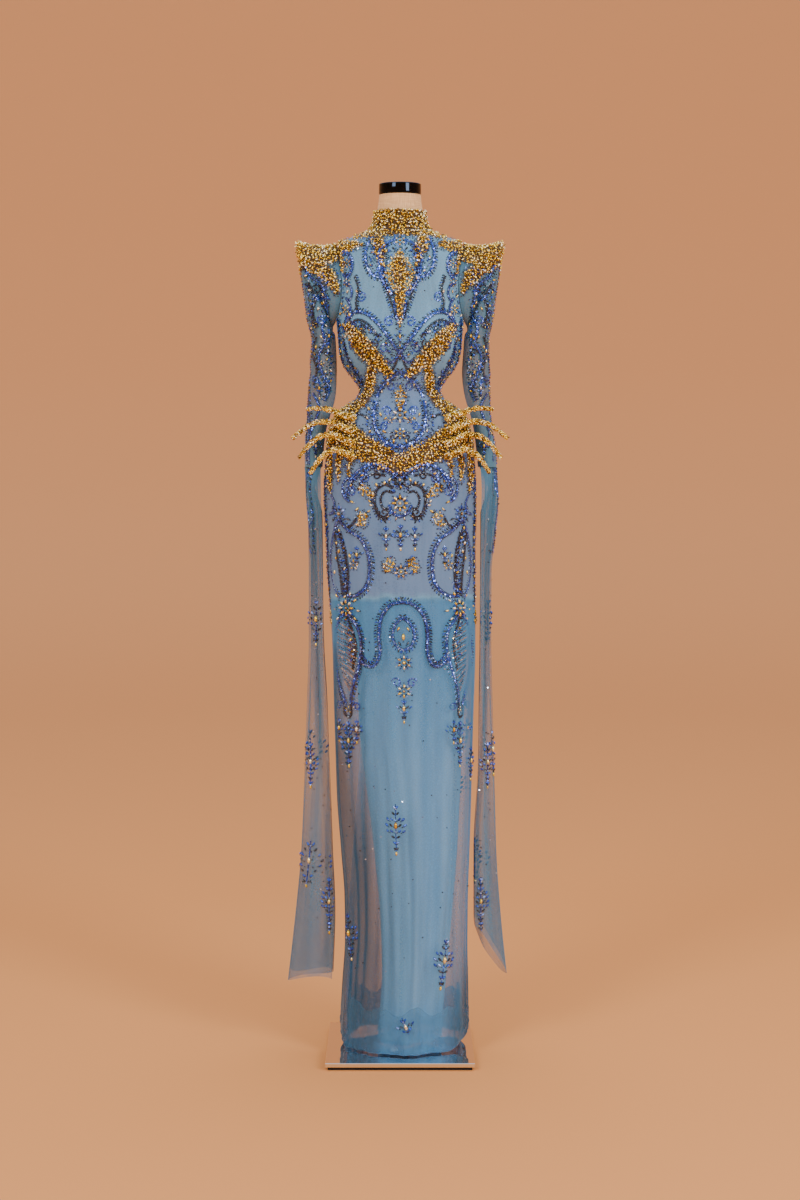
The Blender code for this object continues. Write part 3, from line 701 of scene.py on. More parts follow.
    def point(self, angle: Array, height: Array) -> Array:
        """Points on the gown's outside at any height.

        Args:
            angle: Angles in degrees.
            height: Heights.

        Returns:
            Points in millimetres.
        """
        angle, height = np.broadcast_arrays(np.asarray(angle, float), np.asarray(height, float))
        above = (height >= self.WAIST)[..., None]
        return np.where(above, self.bodice_point(angle, height), self.skirt_point(angle, height))

    def chart_row(self, height: Array) -> tuple[Array, Array]:
        """The chart's row below each height, and how far on to the next row the height lies.

        Args:
            height: Heights.

        Returns:
            The rows and the shares.
        """
        place = (height - self.chart_heights[0]) / (self.chart_heights[1] - self.chart_heights[0])
        row = np.clip(place.astype(int), 0, self.CHART_ROWS - 2)
        return row, np.clip(place - row, 0, 1)

    def angle_at(self, run: Array, height: Array, back: bool = False) -> Array:
        """Turns a distance round the body into an angle.

        Args:
            run: The distance from the centre line, positive towards +X.
            height: The height.
            back: True when the distance is from the centre back.

        Returns:
            Angles in degrees.
        """
        row, mix = self.chart_row(np.asarray(height, float))
        girth = self.girth[row] * (1 - mix) + self.girth[row + 1] * mix
        share = np.clip(np.abs(run) / girth, 0, 1)
        if back:
            share = 1 - share
        column = share * (self.CHART_COLUMNS - 1)
        k = np.clip(column.astype(int), 0, self.CHART_COLUMNS - 2)
        t = column - k
        upper = self.unrolled[row, k] * (1 - t) + self.unrolled[row, k + 1] * t
        lower = self.unrolled[row + 1, k] * (1 - t) + self.unrolled[row + 1, k + 1] * t
        return np.where(run < 0, -1, 1) * (upper * (1 - mix) + lower * mix)

    def run_at(self, angle: Array, height: Array, back: bool = False) -> Array:
        """Turns an angle into a distance round the body, the other way about from angle_at.

        Args:
            angle: Angles in degrees.
            height: The height.
            back: True for the distance from the centre back.

        Returns:
            The distances, positive towards +X.
        """
        angle, height = np.broadcast_arrays(np.asarray(angle, float), np.asarray(height, float))
        angle = (angle + 180) % 360 - 180
        row, _ = self.chart_row(height)
        column = np.abs(angle)
        k = np.clip(column.astype(int), 0, self.CHART_COLUMNS - 2)
        run = self.arcs[row, k] + (self.arcs[row, k + 1] - self.arcs[row, k]) * (column - k)
        if back:
            run = self.girth[row] - run
        return np.where(angle < 0, -run, run)


# The drawing of the stones and the creases


class Stop(NamedTuple):
    """One place on a field of stones: how far from the centre line, its height and the field's half width."""

    aside: float
    height: float
    half_width: float


Band = tuple[Stop, ...]


def fields(text: str) -> tuple[Band, ...]:
    """Fields of stones written as text, each a line of stops."""
    return tuple(table(Stop, line, ",") for line in text.split(";"))


def stretches(bands: Sequence[Band]) -> Iterator[tuple[Stop, Stop]]:
    """Each stretch of each field, from one stop to the next."""
    return ((a, b) for stops in bands for a, b in zip(stops, stops[1:]))


def depth_in(bands: Sequence[Band], aside: Array, height: Array) -> Array:
    """How deep inside the nearest field a place lies; below 0 is outside.

    Args:
        bands: The fields, drawn on one half and mirrored on the other.
        aside: Distances from the centre line.
        height: Heights.

    Returns:
        The depths in millimetres.
    """
    aside = np.abs(aside)
    best = np.full(np.shape(aside), -1e3)
    for a, b in stretches(bands):
        run = np.array([b.aside - a.aside, b.height - a.height])
        share = np.clip(((aside - a.aside) * run[0] + (height - a.height) * run[1]) / (run @ run), 0, 1)
        away = np.hypot(aside - a.aside - share * run[0], height - a.height - share * run[1])
        best = np.maximum(best, a.half_width + (b.half_width - a.half_width) * share - away)
    return best


def cover(bands: Sequence[Band], aside: Array, height: Array) -> Array:
    """How much of the cloth stones hide, from 0 outside a field to nearly 1 inside it."""
    return np.clip(0.4 + depth_in(bands, aside, height) / 8, 0, 0.93)


FRONT_GOLD = fields("""
    0 1633 10, 30 1632 10, 58 1630 8, 92 1622 5; 47 1632 11, 42 1604 12, 37 1580 9, 33 1563 3; 0 1590 4,
    0 1574 9, 0 1548 17, 0 1524 10, 0 1496 9, 0 1468 6, 0 1440 2;
    150 1606 9, 128 1602 15, 108 1604 12, 92 1606 9, 78 1604 4; 134 1590 10, 126 1570 8, 120 1550 3;
    116 1440 12, 92 1420 19, 64 1392 18, 38 1368 12, 20 1350 7; 52 1372 9, 58 1345 11, 66 1318 12, 84 1296 14,
    104 1280 15, 132 1270 15; 142 1262 16, 116 1226 34, 86 1210 28, 52 1194 23, 28 1184 21, 0 1170 17;
    150 1256 16, 158 1220 17, 161 1180 13, 158 1146 9, 154 1120 4; 124 1200 8, 131 1172 7, 128 1140 3;
    98 1190 7, 105 1166 5, 103 1148 2""")
BACK_GOLD = fields("""
    0 1632 9, 30 1631 9, 60 1628 7, 92 1622 5; 150 1608 8, 126 1600 14, 110 1580 12, 102 1552 8, 98 1528 3;
    92 1300 12, 120 1280 14, 152 1264 13; 150 1262 13, 120 1232 18, 80 1204 15, 40 1184 11, 0 1168 9""")
FLAT_GOLD = fields("0 1582 9, 0 1564 20, 0 1546 28, 0 1528 21, 0 1508 10; 0 1324 3, 0 1303 12, 0 1281 3")
SHOULDER_GOLD = fields("""
    206 1618 9, 196 1606 18, 174 1592 22, 150 1588 22, 128 1592 18;
    190 1580 16, 160 1562 16, 138 1540 13, 124 1515 6""")
RIDGE_GOLD = fields("122 2 15, 150 0 15, 180 0 13, 204 0 10")
TIP_GOLD = fields("0 1632 34, 0 1612 40, 0 1590 34, 0 1572 22, 0 1560 8")
SKIRT_CREASES = {
    "skirt_front": table(Crease, """
        -62 1050 -78 420 20 3.2; -34 900 -48 300 16 -2.6; -8 860 -14 160 15 2.4; 22 930 12 250 18 -2.8;
        40 880 34 200 14 2.6; 66 1000 58 380 19 3.4; 82 700 76 140 13 -2.4"""),
    "skirt_back": table(Crease, """
        112 1020 120 330 19 3; 140 900 132 240 17 -2.8; 168 940 172 200 16 2.8; 194 880 188 320 15 -2.4;
        220 960 228 250 19 3.2; 250 840 244 160 16 2.6"""),
}
INNER_CREASES = table(Crease, """
    -52 860 -40 180 13 3.4; -26 820 -30 120 11 -3; -4 880 6 140 14 3.2; 24 800 30 100 12 -3.2;
    48 880 44 200 12 3.4; 76 780 70 90 13 -2.6; 110 850 118 160 14 3; 150 820 144 120 13 -3;
    -172 860 -178 180 14 3; -132 800 -126 140 12 -2.8; -96 820 -88 200 13 2.8""")
SLEEVE_CREASES = {
    Side.LEFT: table(Crease, """
        -70 1402 10 1372 9 -1.8; -40 1366 60 1340 8 1.8; 20 1345 110 1322 8 -1.6; -110 1330 -20 1312 9 1.9;
        -60 1292 40 1276 8 -1.7; 30 1258 120 1240 7 1.4; -120 1240 -30 1222 8 -1.3; -20 1210 70 1200 7 1.3"""),
    Side.RIGHT: table(Crease, """
        -10 1400 70 1376 9 1.8; -60 1362 40 1344 8 -1.8; -100 1340 -20 1318 8 1.7; 40 1322 120 1304 9 -1.8;
        -50 1288 50 1270 8 1.6; -120 1252 -40 1236 7 -1.4; 20 1236 110 1216 8 1.4; -70 1206 20 1196 7 -1.2"""),
}


# Cloth


@dataclass
class Net:
    """A grid of points in millimetres that a sheet of cloth is made from, rows down and columns across."""

    points: Array
    ring: bool = False  # whether the last column joins the first
    flip: bool = False  # whether the columns run the other way round, as on a mirrored side

    def normals(self) -> Array:
        """Unit normals of the outside at each point."""
        if self.ring:
            along = np.roll(self.points, -1, axis=1) - np.roll(self.points, 1, axis=1)
        else:
            along = np.gradient(self.points, axis=1)
        return unit(np.cross(np.gradient(self.points, axis=0), along) * (-1 if self.flip else 1))

    def pushed(self, out: Array) -> Net:
        """The same net with its points moved out by distances along the normals."""
        return Net(self.points + self.normals() * out[..., None], self.ring, self.flip)

    def quads(self) -> Array:
        """Indices of each face's corners, facing outwards."""
        rows, columns = self.points.shape[:2]
        last = columns if self.ring else columns - 1
        i, j = np.meshgrid(np.arange(rows - 1), np.arange(last), indexing="ij")
        k = (j + 1) % columns
        corners = [i * columns + j, (i + 1) * columns + j, (i + 1) * columns + k, i * columns + k]
        if self.flip:
            corners.reverse()
        return np.stack(corners, axis=-1).reshape(-1, 4)

    def steps(self) -> tuple[Array, Array]:
        """The steps along the rows, with the one back to the first column, and down the columns."""
        across = np.linalg.norm(np.diff(self.points, axis=1, append=self.points[:, :1]), axis=2)
        return across, np.linalg.norm(np.diff(self.points, axis=0), axis=2)

    def cut(self) -> tuple[tuple[float, float], float]:
        """The flat piece that the cloth was cut to: its width, length and area in metres."""
        across, down = self.steps()
        if not self.ring:
            across = across[:, :-1]
        width, length = float(across.sum(axis=1).max()) * MM, float(down.sum(axis=0).max()) * MM
        sides = self.points.reshape(-1, 3)[self.quads()]
        crossed = np.cross(sides[:, 2] - sides[:, 0], sides[:, 3] - sides[:, 1])
        area = np.linalg.norm(crossed, axis=1).sum() / 2
        return (round(width, 3), round(length, 3)), min(float(area) * MM * MM, width * length)


def in_scene(data: bpy.types.ID) -> Object:
    """A new object in the scene for a mesh, a camera or a light, with its name.

    Args:
        data: The mesh, camera or light.

    Returns:
        The object.
    """
    made = bpy.data.objects.new(data.name, data)
    bpy.context.scene.collection.objects.link(made)
    return made


def sew(
    name: str, net: Net, finish: str, node: str,
    worked: Array | float = 0.0, layers: Array | float = 1.0, tone: Array | float = 0.0,
) -> None:
    """Makes a sheet of cloth from a net, with a UV map in metres.

    Args:
        name: The piece's name.
        net: Its points.
        finish: Which of FINISHES it has.
        node: The solid that it replaces.
        worked: How much of the cloth at each point is hidden under stones, and so painted dark with backs and
            shade, from 0 to 1.
        layers: How thick the net lies at each point, as a share of its usual cover.
        tone: Where its colour at each point lies on the finish's colour ramp of painted light and shade, from 0
            to 1.
    """
    data = bpy.data.meshes.new(name)
    rows, columns = net.points.shape[:2]
    quads = net.quads()
    data.from_pydata((net.points.reshape(-1, 3) * MM).tolist(), [], quads.tolist())
    u, v = (travelled(steps.mean(axis=k)) for k, steps in enumerate(net.steps()))
    column = quads % columns
    wraps = (column.max(axis=1) == columns - 1) & (column.min(axis=1) == 0) & net.ring
    column = np.where(wraps[:, None] & (column == 0), columns, column)
    chart = np.stack([u[column], v[quads // columns]], axis=-1).reshape(-1, 2) * MM
    data.uv_layers.new(name="cut").data.foreach_set("uv", chart.ravel())
    for attribute, values in (("worked", worked), ("layers", layers), ("tone", tone)):
        values = np.broadcast_to(np.asarray(values, float), (rows, columns)).ravel()
        data.attributes.new(attribute, "FLOAT", "POINT").data.foreach_set("value", values)
    data.shade_smooth()
    data.materials.append(shared(FINISHES[finish]))
    piece = hang(in_scene(data), node)
    flat, area = net.cut()


def hang(piece: Object, node: str) -> Object:
    """Attaches a piece to the root body, hides the solid that it replaces and logs its face count.

    Args:
        piece: The piece.
        node: The solid that it replaces, or nothing.

    Returns:
        The piece.
    """
    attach(piece, "root")
    if node:
        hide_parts(node)
    LOG.info("%s: %d faces", piece.name, len(piece.data.polygons))
    return piece


def spread(first: float | Array, last: float | Array, count: int) -> Array:
    """Evenly spaced values from first to last along a new last axis."""
    share = np.linspace(0, 1, count)
    return np.asarray(first)[..., None] * (1 - share) + np.asarray(last)[..., None] * share


@dataclass
class DressForm:
    """The limbless torso under the gown, with its neck and the black cap on it."""

    torso: Torso
    columns: int = 96
    cup_share: float = 0.85
    slack: float = 0.6
    neck_top: float = 1709.3
    cap_radius: float = 42.3
    cap_height: float = 22.0
    cap_steps: tuple[tuple[float, float], ...] = ((7.0, 0.6), (16.0, 0.3))  # of its top, inwards and upwards
    cap_rim: float = 2.4

    def build(self) -> None:
        """Builds the form and its cap."""
        self.build_torso()
        self.build_cap()

    def build_torso(self) -> None:
        """The smooth torso, closed at the neck and at the foot."""
        top, bottom = self.torso.FIGURE[0].height, self.torso.FIGURE[-1].height
        heights = np.array([top, *np.linspace(top - 0.4, bottom + 0.6, 120), bottom])
        inset = np.full(len(heights), self.slack)
        inset[[0, -1]] += (1.2, 2.0)
        angles = np.arange(self.columns) * 360 / self.columns
        grid = self.torso.figure_point(angles[None, :], heights[:, None], self.cup_share)
        grid = grid - unit(grid * (1, 1, 0)) * inset[:, None, None]
        rim = len(grid) * self.columns
        data = bpy.data.meshes.new("form_torso")
        lids = [list(range(self.columns)), list(reversed(range(rim - self.columns, rim)))]
        walls = Net(grid, ring=True).quads().tolist()
        data.from_pydata((grid.reshape(-1, 3) * MM).tolist(), [], walls + lids)
        data.shade_smooth()
        data.set_sharp_from_angle(angle=math.radians(50))
        data.materials.append(LINEN.material())
        hang(in_scene(data), "dress_form")

    def build_cap(self) -> None:
        """The black chromed cap: a turned disc with a rounded rim and a slightly sunk top."""
        bpy.ops.object.select_all(action="DESELECT")
        bpy.ops.mesh.primitive_cylinder_add(
            vertices=96, radius=self.cap_radius * MM, depth=self.cap_height * MM,
            location=(0, 0, (self.neck_top + self.cap_height / 2) * MM))
        cap = bpy.context.object
        cap.name = cap.data.name = "neck_cap_chromed"
        bpy.ops.object.mode_set(mode="EDIT")
        bpy.ops.mesh.select_mode(type="FACE")
        bpy.ops.mesh.select_all(action="DESELECT")
        bpy.ops.object.mode_set(mode="OBJECT")
        for face in cap.data.polygons:
            face.select = face.normal.z > 0.9
        bpy.ops.object.mode_set(mode="EDIT")
        for inwards, upwards in self.cap_steps:
            bpy.ops.mesh.inset(thickness=inwards * MM)
            bpy.ops.transform.translate(value=(0, 0, upwards * MM))
        bpy.ops.object.mode_set(mode="OBJECT")
        bevel = cap.modifiers.new("rounded_rim", "BEVEL")
        bevel.width = self.cap_rim * MM
        bevel.segments = 4
        bevel.limit_method = "ANGLE"
        bpy.ops.object.modifier_apply(modifier=bevel.name)
        bpy.ops.object.shade_smooth_by_angle(angle=math.radians(40))
        bpy.ops.object.transform_apply(location=True, rotation=True, scale=True)
        cap.data.materials.append(BLACK_GLOSS.material())
        hang(cap, "neck_cap")


@dataclass
class Stand:
    """The pole, the mirror plate and its rubber pad, which keep their solids and get their real finishes."""

    pole: Metal = SATIN
    plate: Metal = MIRROR
    pad: Metal = RUBBER

    def build(self) -> None:
        """Gives each solid its finish."""
        for node, finish in (("stand_pole", self.pole), ("base_plate", self.plate), ("base_pad", self.pad)):
            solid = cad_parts[node]
            solid.data.materials.clear()
            solid.data.materials.append(finish.material())
            LOG.info("%s: %s", node, finish.name)


@dataclass
class Bodice:
    """The bodice's front panel, its two back panels and the strip over the back fastening."""

    torso: Torso
    top: float = 1637.7
    bottom: float = 1299.9
    armhole_centre: float = 1531.0
    armhole_half_height: float = 77.0
    armhole_half_angle: float = 20.0
    rows: int = 100
    columns: int = 73
    placket_half_width: float = 6.0
    tones: tuple[float, float] = (1320.0, 1420.0)  # heights from the hips' dimmer painted light on the net to the bust's brighter painted light

    def side(self, height: Array) -> Array:
        """The angle at which the front panel ends: the side seam, or the armhole's edge."""
        up = np.minimum(1.0, np.abs(height - self.armhole_centre) / self.armhole_half_height)
        return 89.9 - self.armhole_half_angle * (0.5 + 0.5 * np.cos(math.pi * up))

    def panel(self, name: str, start: Array, end: Array, columns: int, bands: Sequence[Band]) -> None:
        """Builds one panel between two edges.

        Args:
            name: The panel's node.
            start: The angle of its first edge at each row.
            end: The angle of its last edge at each row.
            columns: How many columns of points.
            bands: The fields of stones on it.
        """
        heights = np.linspace(self.top, self.bottom, self.rows)[:, None]
        angles = spread(start, end, columns)
        net = Net(self.torso.bodice_point(angles, heights))
        run = self.torso.run_at(angles, heights, back="back" in name)
        worked = cover(bands, run, heights + 0 * run)
        # Painted light: the net is painted lighter on the bust than on the hips.
        higher = ramp(net.points[..., 2], *self.tones)
        sew(
            f"{name}_tulle", net, "skirt", name, worked,
            2.5 - 0.6 * higher, HIPS_LESS_LIT + (BUST_TOP_LIT - HIPS_LESS_LIT) * higher)

    def build(self) -> None:
        """Builds the panels and the placket."""
        heights = np.linspace(self.top, self.bottom, self.rows)
        side = self.side(heights)
        back = np.full(self.rows, 179.9)
        self.panel("bodice_front", -side, side, self.columns, FRONT_GOLD)
        self.panel("bodice_back_right", 180 - side, back, self.columns // 2, BACK_GOLD)
        self.panel("bodice_back_left", 360 - back, 180 + side, self.columns // 2, BACK_GOLD)
        self.build_placket(heights)

    def build_placket(self, heights: Array) -> None:
        """The narrow strip that covers the centre back fastening.

        Args:
            heights: The rows' heights.
        """
        half = np.degrees(self.placket_half_width / self.torso.figure["back"](heights))
        grid = self.torso.bodice_point(spread(180 - half, 180 + half, 7), heights[:, None], 1.9)
        net = Net(grid).pushed(0.25 * np.sin(heights / 7.0)[:, None] * np.ones(7))
        # Painted light: the placket is painted lighter on the bust than on the hips.
        tone = ramp(net.points[..., 2], *reversed(self.tones)) * (HIPS_LESS_LIT - BUST_TOP_LIT) + BUST_TOP_LIT
        sew(
            "placket_tulle", net, "skirt", "back_placket",
            0.0, 2.5, tone)


@dataclass
class Collar:
    """The standing collar's tulle band, which is hidden under its stones and open at centre back."""

    sections: tuple[Section, ...] = table(Section, """
        1676 48.4 46.6 48.4; 1655 51.4 49.4 51.4; 1645 55.2 52.4 56.8; 1638.3 60.8 54.4 60.6""")
    wall: float = 0.75
    rows: int = 14
    columns: int = 96

    def point(self, angle: Array, height: Array) -> Array:
        """Points on the band."""
        lines = profiles(self.sections)
        return oval(angle, height, *(lines[name](height) + self.wall for name in OVAL))

    def build(self) -> None:
        """Builds the band."""
        heights = np.linspace(self.sections[0].height, self.sections[-1].height, self.rows)
        net = Net(self.point(np.linspace(-179.7, 179.7, self.columns)[None, :], heights[:, None]))
        sew("collar_tulle", net, "skirt", "collar", 0.95)


@dataclass
class Skirt:
    """The outer skirt's front and back panels, with the hem turned up inside."""

    torso: Torso
    inner: InnerSkirt
    columns: int = 131
    row_step: float = 7.5
    hem: tuple[tuple[float, float], ...] = (
        (34, 1.0),
        (13, 0.0),
        (3.2, -2.6),
        (0, -7.0),
        (4.2, -11.4),
        (22, -14.0),
        (84, -15.5),
    )  # rise above the hem's lowest line, and step out from the last section
    lifts: tuple[tuple[float, float, float], ...] = ((88, 24, 24), (-88, 16, 6), (150, 18, 11), (-140, 20, 9))
    lowest: float = 17.25
    hem_rows: int = 40
    flap_rows: int = 22  # the rows of the hem that lie turned up inside
    behind: tuple[float, float] = (50.0, 36.0)  # how far off the inner skirt starts and ends to show through and to cast painted bounce light
    misty: tuple[float, float] = (560.0, 890.0)  # the heights between which it makes the net mistier
    form_foot: tuple[float, float] = (902.0, 917.0)  # heights between which the net comes to lie on the form
    loose_from: tuple[float, float] = (1150.0, 1000.0)  # the heights between which the creases begin

    def doubled(self, points: Array) -> Array:
        """Where the back panel lies folded double, as a wedge that widens towards the hem on the -X side.

        Args:
            points: The panel's points.

        Returns:
            How much it is doubled at each point, from 0 to 1.
        """
        fallen = ramp(points[..., 2], 610, 210)
        middle, half_width = -76 + 10 * fallen, 4 + 40 * fallen
        deep = 0.88 + 0.12 * np.cos((points[..., 0] + 0.06 * points[..., 2]) / 7)
        return deep * np.clip((half_width - np.abs(points[..., 0] - middle)) / 4, 0, 1) * (fallen > 0)

    def hem_lift(self, angle: Array) -> Array:
        """How far the hem is lifted off the base.

        Args:
            angle: The columns' angles.

        Returns:
            The rise at each angle.
        """
        total = np.zeros(np.shape(angle))
        for middle, width, rise in self.lifts:
            total = total + rise * np.exp(-(((angle - middle + 180) % 360 - 180) / width) ** 2)
        return total

    def hem_points(self, angle: Array) -> Array:
        """Rows of the turned-up hem below the last section.

        Args:
            angle: The columns' angles.

        Returns:
            Points of shape rows, columns, 3.
        """
        last = self.torso.SKIRT[-1].height
        first_rise = last - self.lowest
        rise = np.array([first_rise, *(step[0] for step in self.hem)])
        out = np.array([0.0, *(step[1] for step in self.hem)])
        travel = travelled(np.hypot(np.diff(rise), np.diff(out)))
        stops = np.linspace(0, travel[-1], self.hem_rows)[1:]
        rise_line, out_line = Profile(travel, rise)(stops), Profile(travel, out)(stops)
        inside = ramp(stops, travel[4], travel[-1])
        base = self.torso.skirt_point(angle, np.full_like(angle, last))
        centre = np.array([self.torso.skirt["shift"](last), 0, 0])
        outward = (base - centre) * (1, 1, 0)
        outward /= np.linalg.norm(outward, axis=1, keepdims=True)
        lift_share = np.clip(1 - (rise_line - 20) / first_rise, 0, 1)
        points = base[None] + outward[None] * out_line[:, None, None]
        ragged = 1 + 0.22 * wander(angle / 60, 0 * angle, 7)
        crumple = 2.3 * wander(angle[None, :] / 26, stops[:, None] / 24, 11, 6)
        crumple = crumple * np.minimum(1, stops / 30)[:, None]
        points = points + outward[None] * (crumple - 1.2 * inside[:, None])[..., None]
        lift = self.hem_lift(angle)
        lifted = lift[None, :] * np.where(inside > 0, 1, lift_share)[:, None]
        tall = np.where(inside[:, None] > 0, 1 + (ragged[None, :] - 1) * inside[:, None], 1)
        points[..., 2] = self.lowest + rise_line[:, None] * tall + lifted
        return points

    def build(self) -> None:
        """Builds both panels."""
        top, last = 1300.2, self.torso.SKIRT[-1].height
        heights = np.linspace(top, last, int((top - last) / self.row_step))[:, None]
        for name, start, end, bands in (
                ("skirt_front", -89.93, 89.93, FRONT_GOLD), ("skirt_back", 90.07, 269.93, BACK_GOLD)):
            angles = np.linspace(start, end, self.columns)
            slack = creased(angles[None, :], heights, SKIRT_CREASES[name], 2.4)
            net = Net(self.torso.skirt_point(angles[None, :], heights))
            net = net.pushed(slack * ramp(heights, *self.loose_from))
            net = Net(np.concatenate([net.points, self.hem_points(angles)]))
            run = self.torso.run_at(angles[None, :], heights, back="back" in name)
            worked = np.zeros(net.points.shape[:2])
            worked[: len(heights)] = cover(bands, run, heights + 0 * run)
            layers, tone = self.thickness(net.points, "back" in name)
            sew(
                f"{name}_tulle", net, "skirt", name,
                worked, layers, tone)

    def thickness(self, points: Array, back: bool) -> tuple[Array, Array]:
        """How the net's cover and its painted light change with what lies behind it.

        Args:
            points: The panel's points.
            back: Whether it is the back panel.

        Returns:
            The layers and the tone, which is the painted light, at each point.
        """
        x, y, z = np.moveaxis(points, -1, 0)
        angle = np.degrees(np.arctan2(x, -y))
        near = ramp(self.inner.distance(points), *self.behind)
        streaks = wander(angle / 24, z / 1500, 72)
        layers = 1.25 - 0.25 * near + 0.14 * streaks + 0.5 * near * ramp(z, *self.misty)
        # Painted bounce light: net before the pale inner skirt is painted lighter, and net that hangs free
        # darker, as in shade.
        tone = FREE_IN_SHADE + (NEAR_BOUNCE_LIT - FREE_IN_SHADE) * near
        if back:
            doubled = self.doubled(points)
            layers, tone = layers + (0.45 + 0.85 * near) * doubled, tone + 0.3 * doubled * (1 - near)
        seated = ramp(z - 4 * wander(angle / 22, 0.0, 71), *self.form_foot)
        # Net that lies on the form takes the hips' dimmer painted light.
        layers, tone = layers + (2.5 - layers) * seated, tone + (HIPS_LESS_LIT - tone) * seated
        layers[-self.flap_rows :], tone[-self.flap_rows :] = 1.3, BUST_TOP_LIT
        return layers, tone


@dataclass
class InnerSkirt:
    """The layered inner skirt, close on the hips and falling in a narrow fluted column."""

    torso: Torso
    sections: tuple[LiningSection, ...] = table(LiningSection, """
        1060 -145.2 145.2 94.2 115.2 0; 1000 -142.2 142.2 91.2 111.2 0; 950 -139.2 139.2 88.2 104.2 0;
        907 -135.4 135.4 86.4 97.4 0; 868 -121 136 84 90 2; 790 -86 132 78 78 4.5; 640 -78 126 72 70 6;
        520 -64 119 68 65 6.5; 400 -50 112 66 62 6.5; 260 -38 101 66 60 6; 150 -34 90 70 60 5.5;
        80 -38 84 74 62 5; 34 -44 82 76 64 4.5""")
    folds: int = 10
    rows: int = 150
    columns: int = 180

    def point(self, angle: Array, height: Array) -> Array:
        """Points on the inner skirt.

        Args:
            angle: Angles in degrees.
            height: Heights.

        Returns:
            Points in millimetres.
        """
        left, right, front, back, fold = (line(height) for line in profiles(self.sections).values())
        turn = np.radians(angle)
        main = folds(turn, self.folds, 0.35 * np.sin((height + 400) / 260.0))
        fine = np.sin(23 * turn + 1.8 * np.sin(4 * turn + height / 230.0) + 0.6)
        push = 0.6 + fold * main + 0.14 * fold * fine * (0.6 + 0.4 * np.sin(6 * turn + height / 170.0))
        return oval(angle, height, (right - left) / 2 + push, front + push, back + push, (left + right) / 2)

    def distance(self, points: Array) -> Array:
        """Roughly how far outside the inner skirt points lie.

        Args:
            points: The points.

        Returns:
            The distances, below 0 inside it.
        """
        x, y, z = np.moveaxis(points, -1, 0)
        left, right, front, back, _ = (line(z) for line in profiles(self.sections).values())
        wide, deep = (right - left) / 2, np.where(y < 0, front, back)
        return (np.hypot((x - (left + right) / 2) / wide, y / deep) - 1) * (wide + deep) / 2

    def build(self) -> None:
        """Builds the tube."""
        heights = np.linspace(self.sections[0].height, self.sections[-1].height, self.rows)[:, None]
        angles = (-180 + np.arange(self.columns) * 360 / self.columns)[None, :]
        slack = creased(angles, heights, INNER_CREASES, 1.7) * ramp(heights, 900, 780)
        net = Net(self.point(angles, heights), ring=True).pushed(slack)
        layers = 0.1 + 0.9 * ramp(net.points[..., 2], 912, 906)
        sew("inner_skirt_tulle", net, "inner", "inner_skirt", 0.0, layers)


def smooth_rows(grid: Array, count: int) -> Array:
    """Draws smooth lines down through the rows of a grid.

    Args:
        grid: Rows of points, all of the same length.
        count: How many rows to return, evenly spaced along the cloth.

    Returns:
        The finer grid.
    """
    travel = travelled(np.linalg.norm(np.diff(grid, axis=0), axis=2).mean(axis=1))
    place = np.linspace(0, travel[-1], count)
    k = np.clip(np.searchsorted(travel, place, side="right") - 1, 0, len(travel) - 2)
    span = travel[k + 1] - travel[k]
    share = ((place - travel[k]) / span)[:, None, None]
    return eased(grid, np.gradient(grid, travel, axis=0), k, span[:, None, None], share)


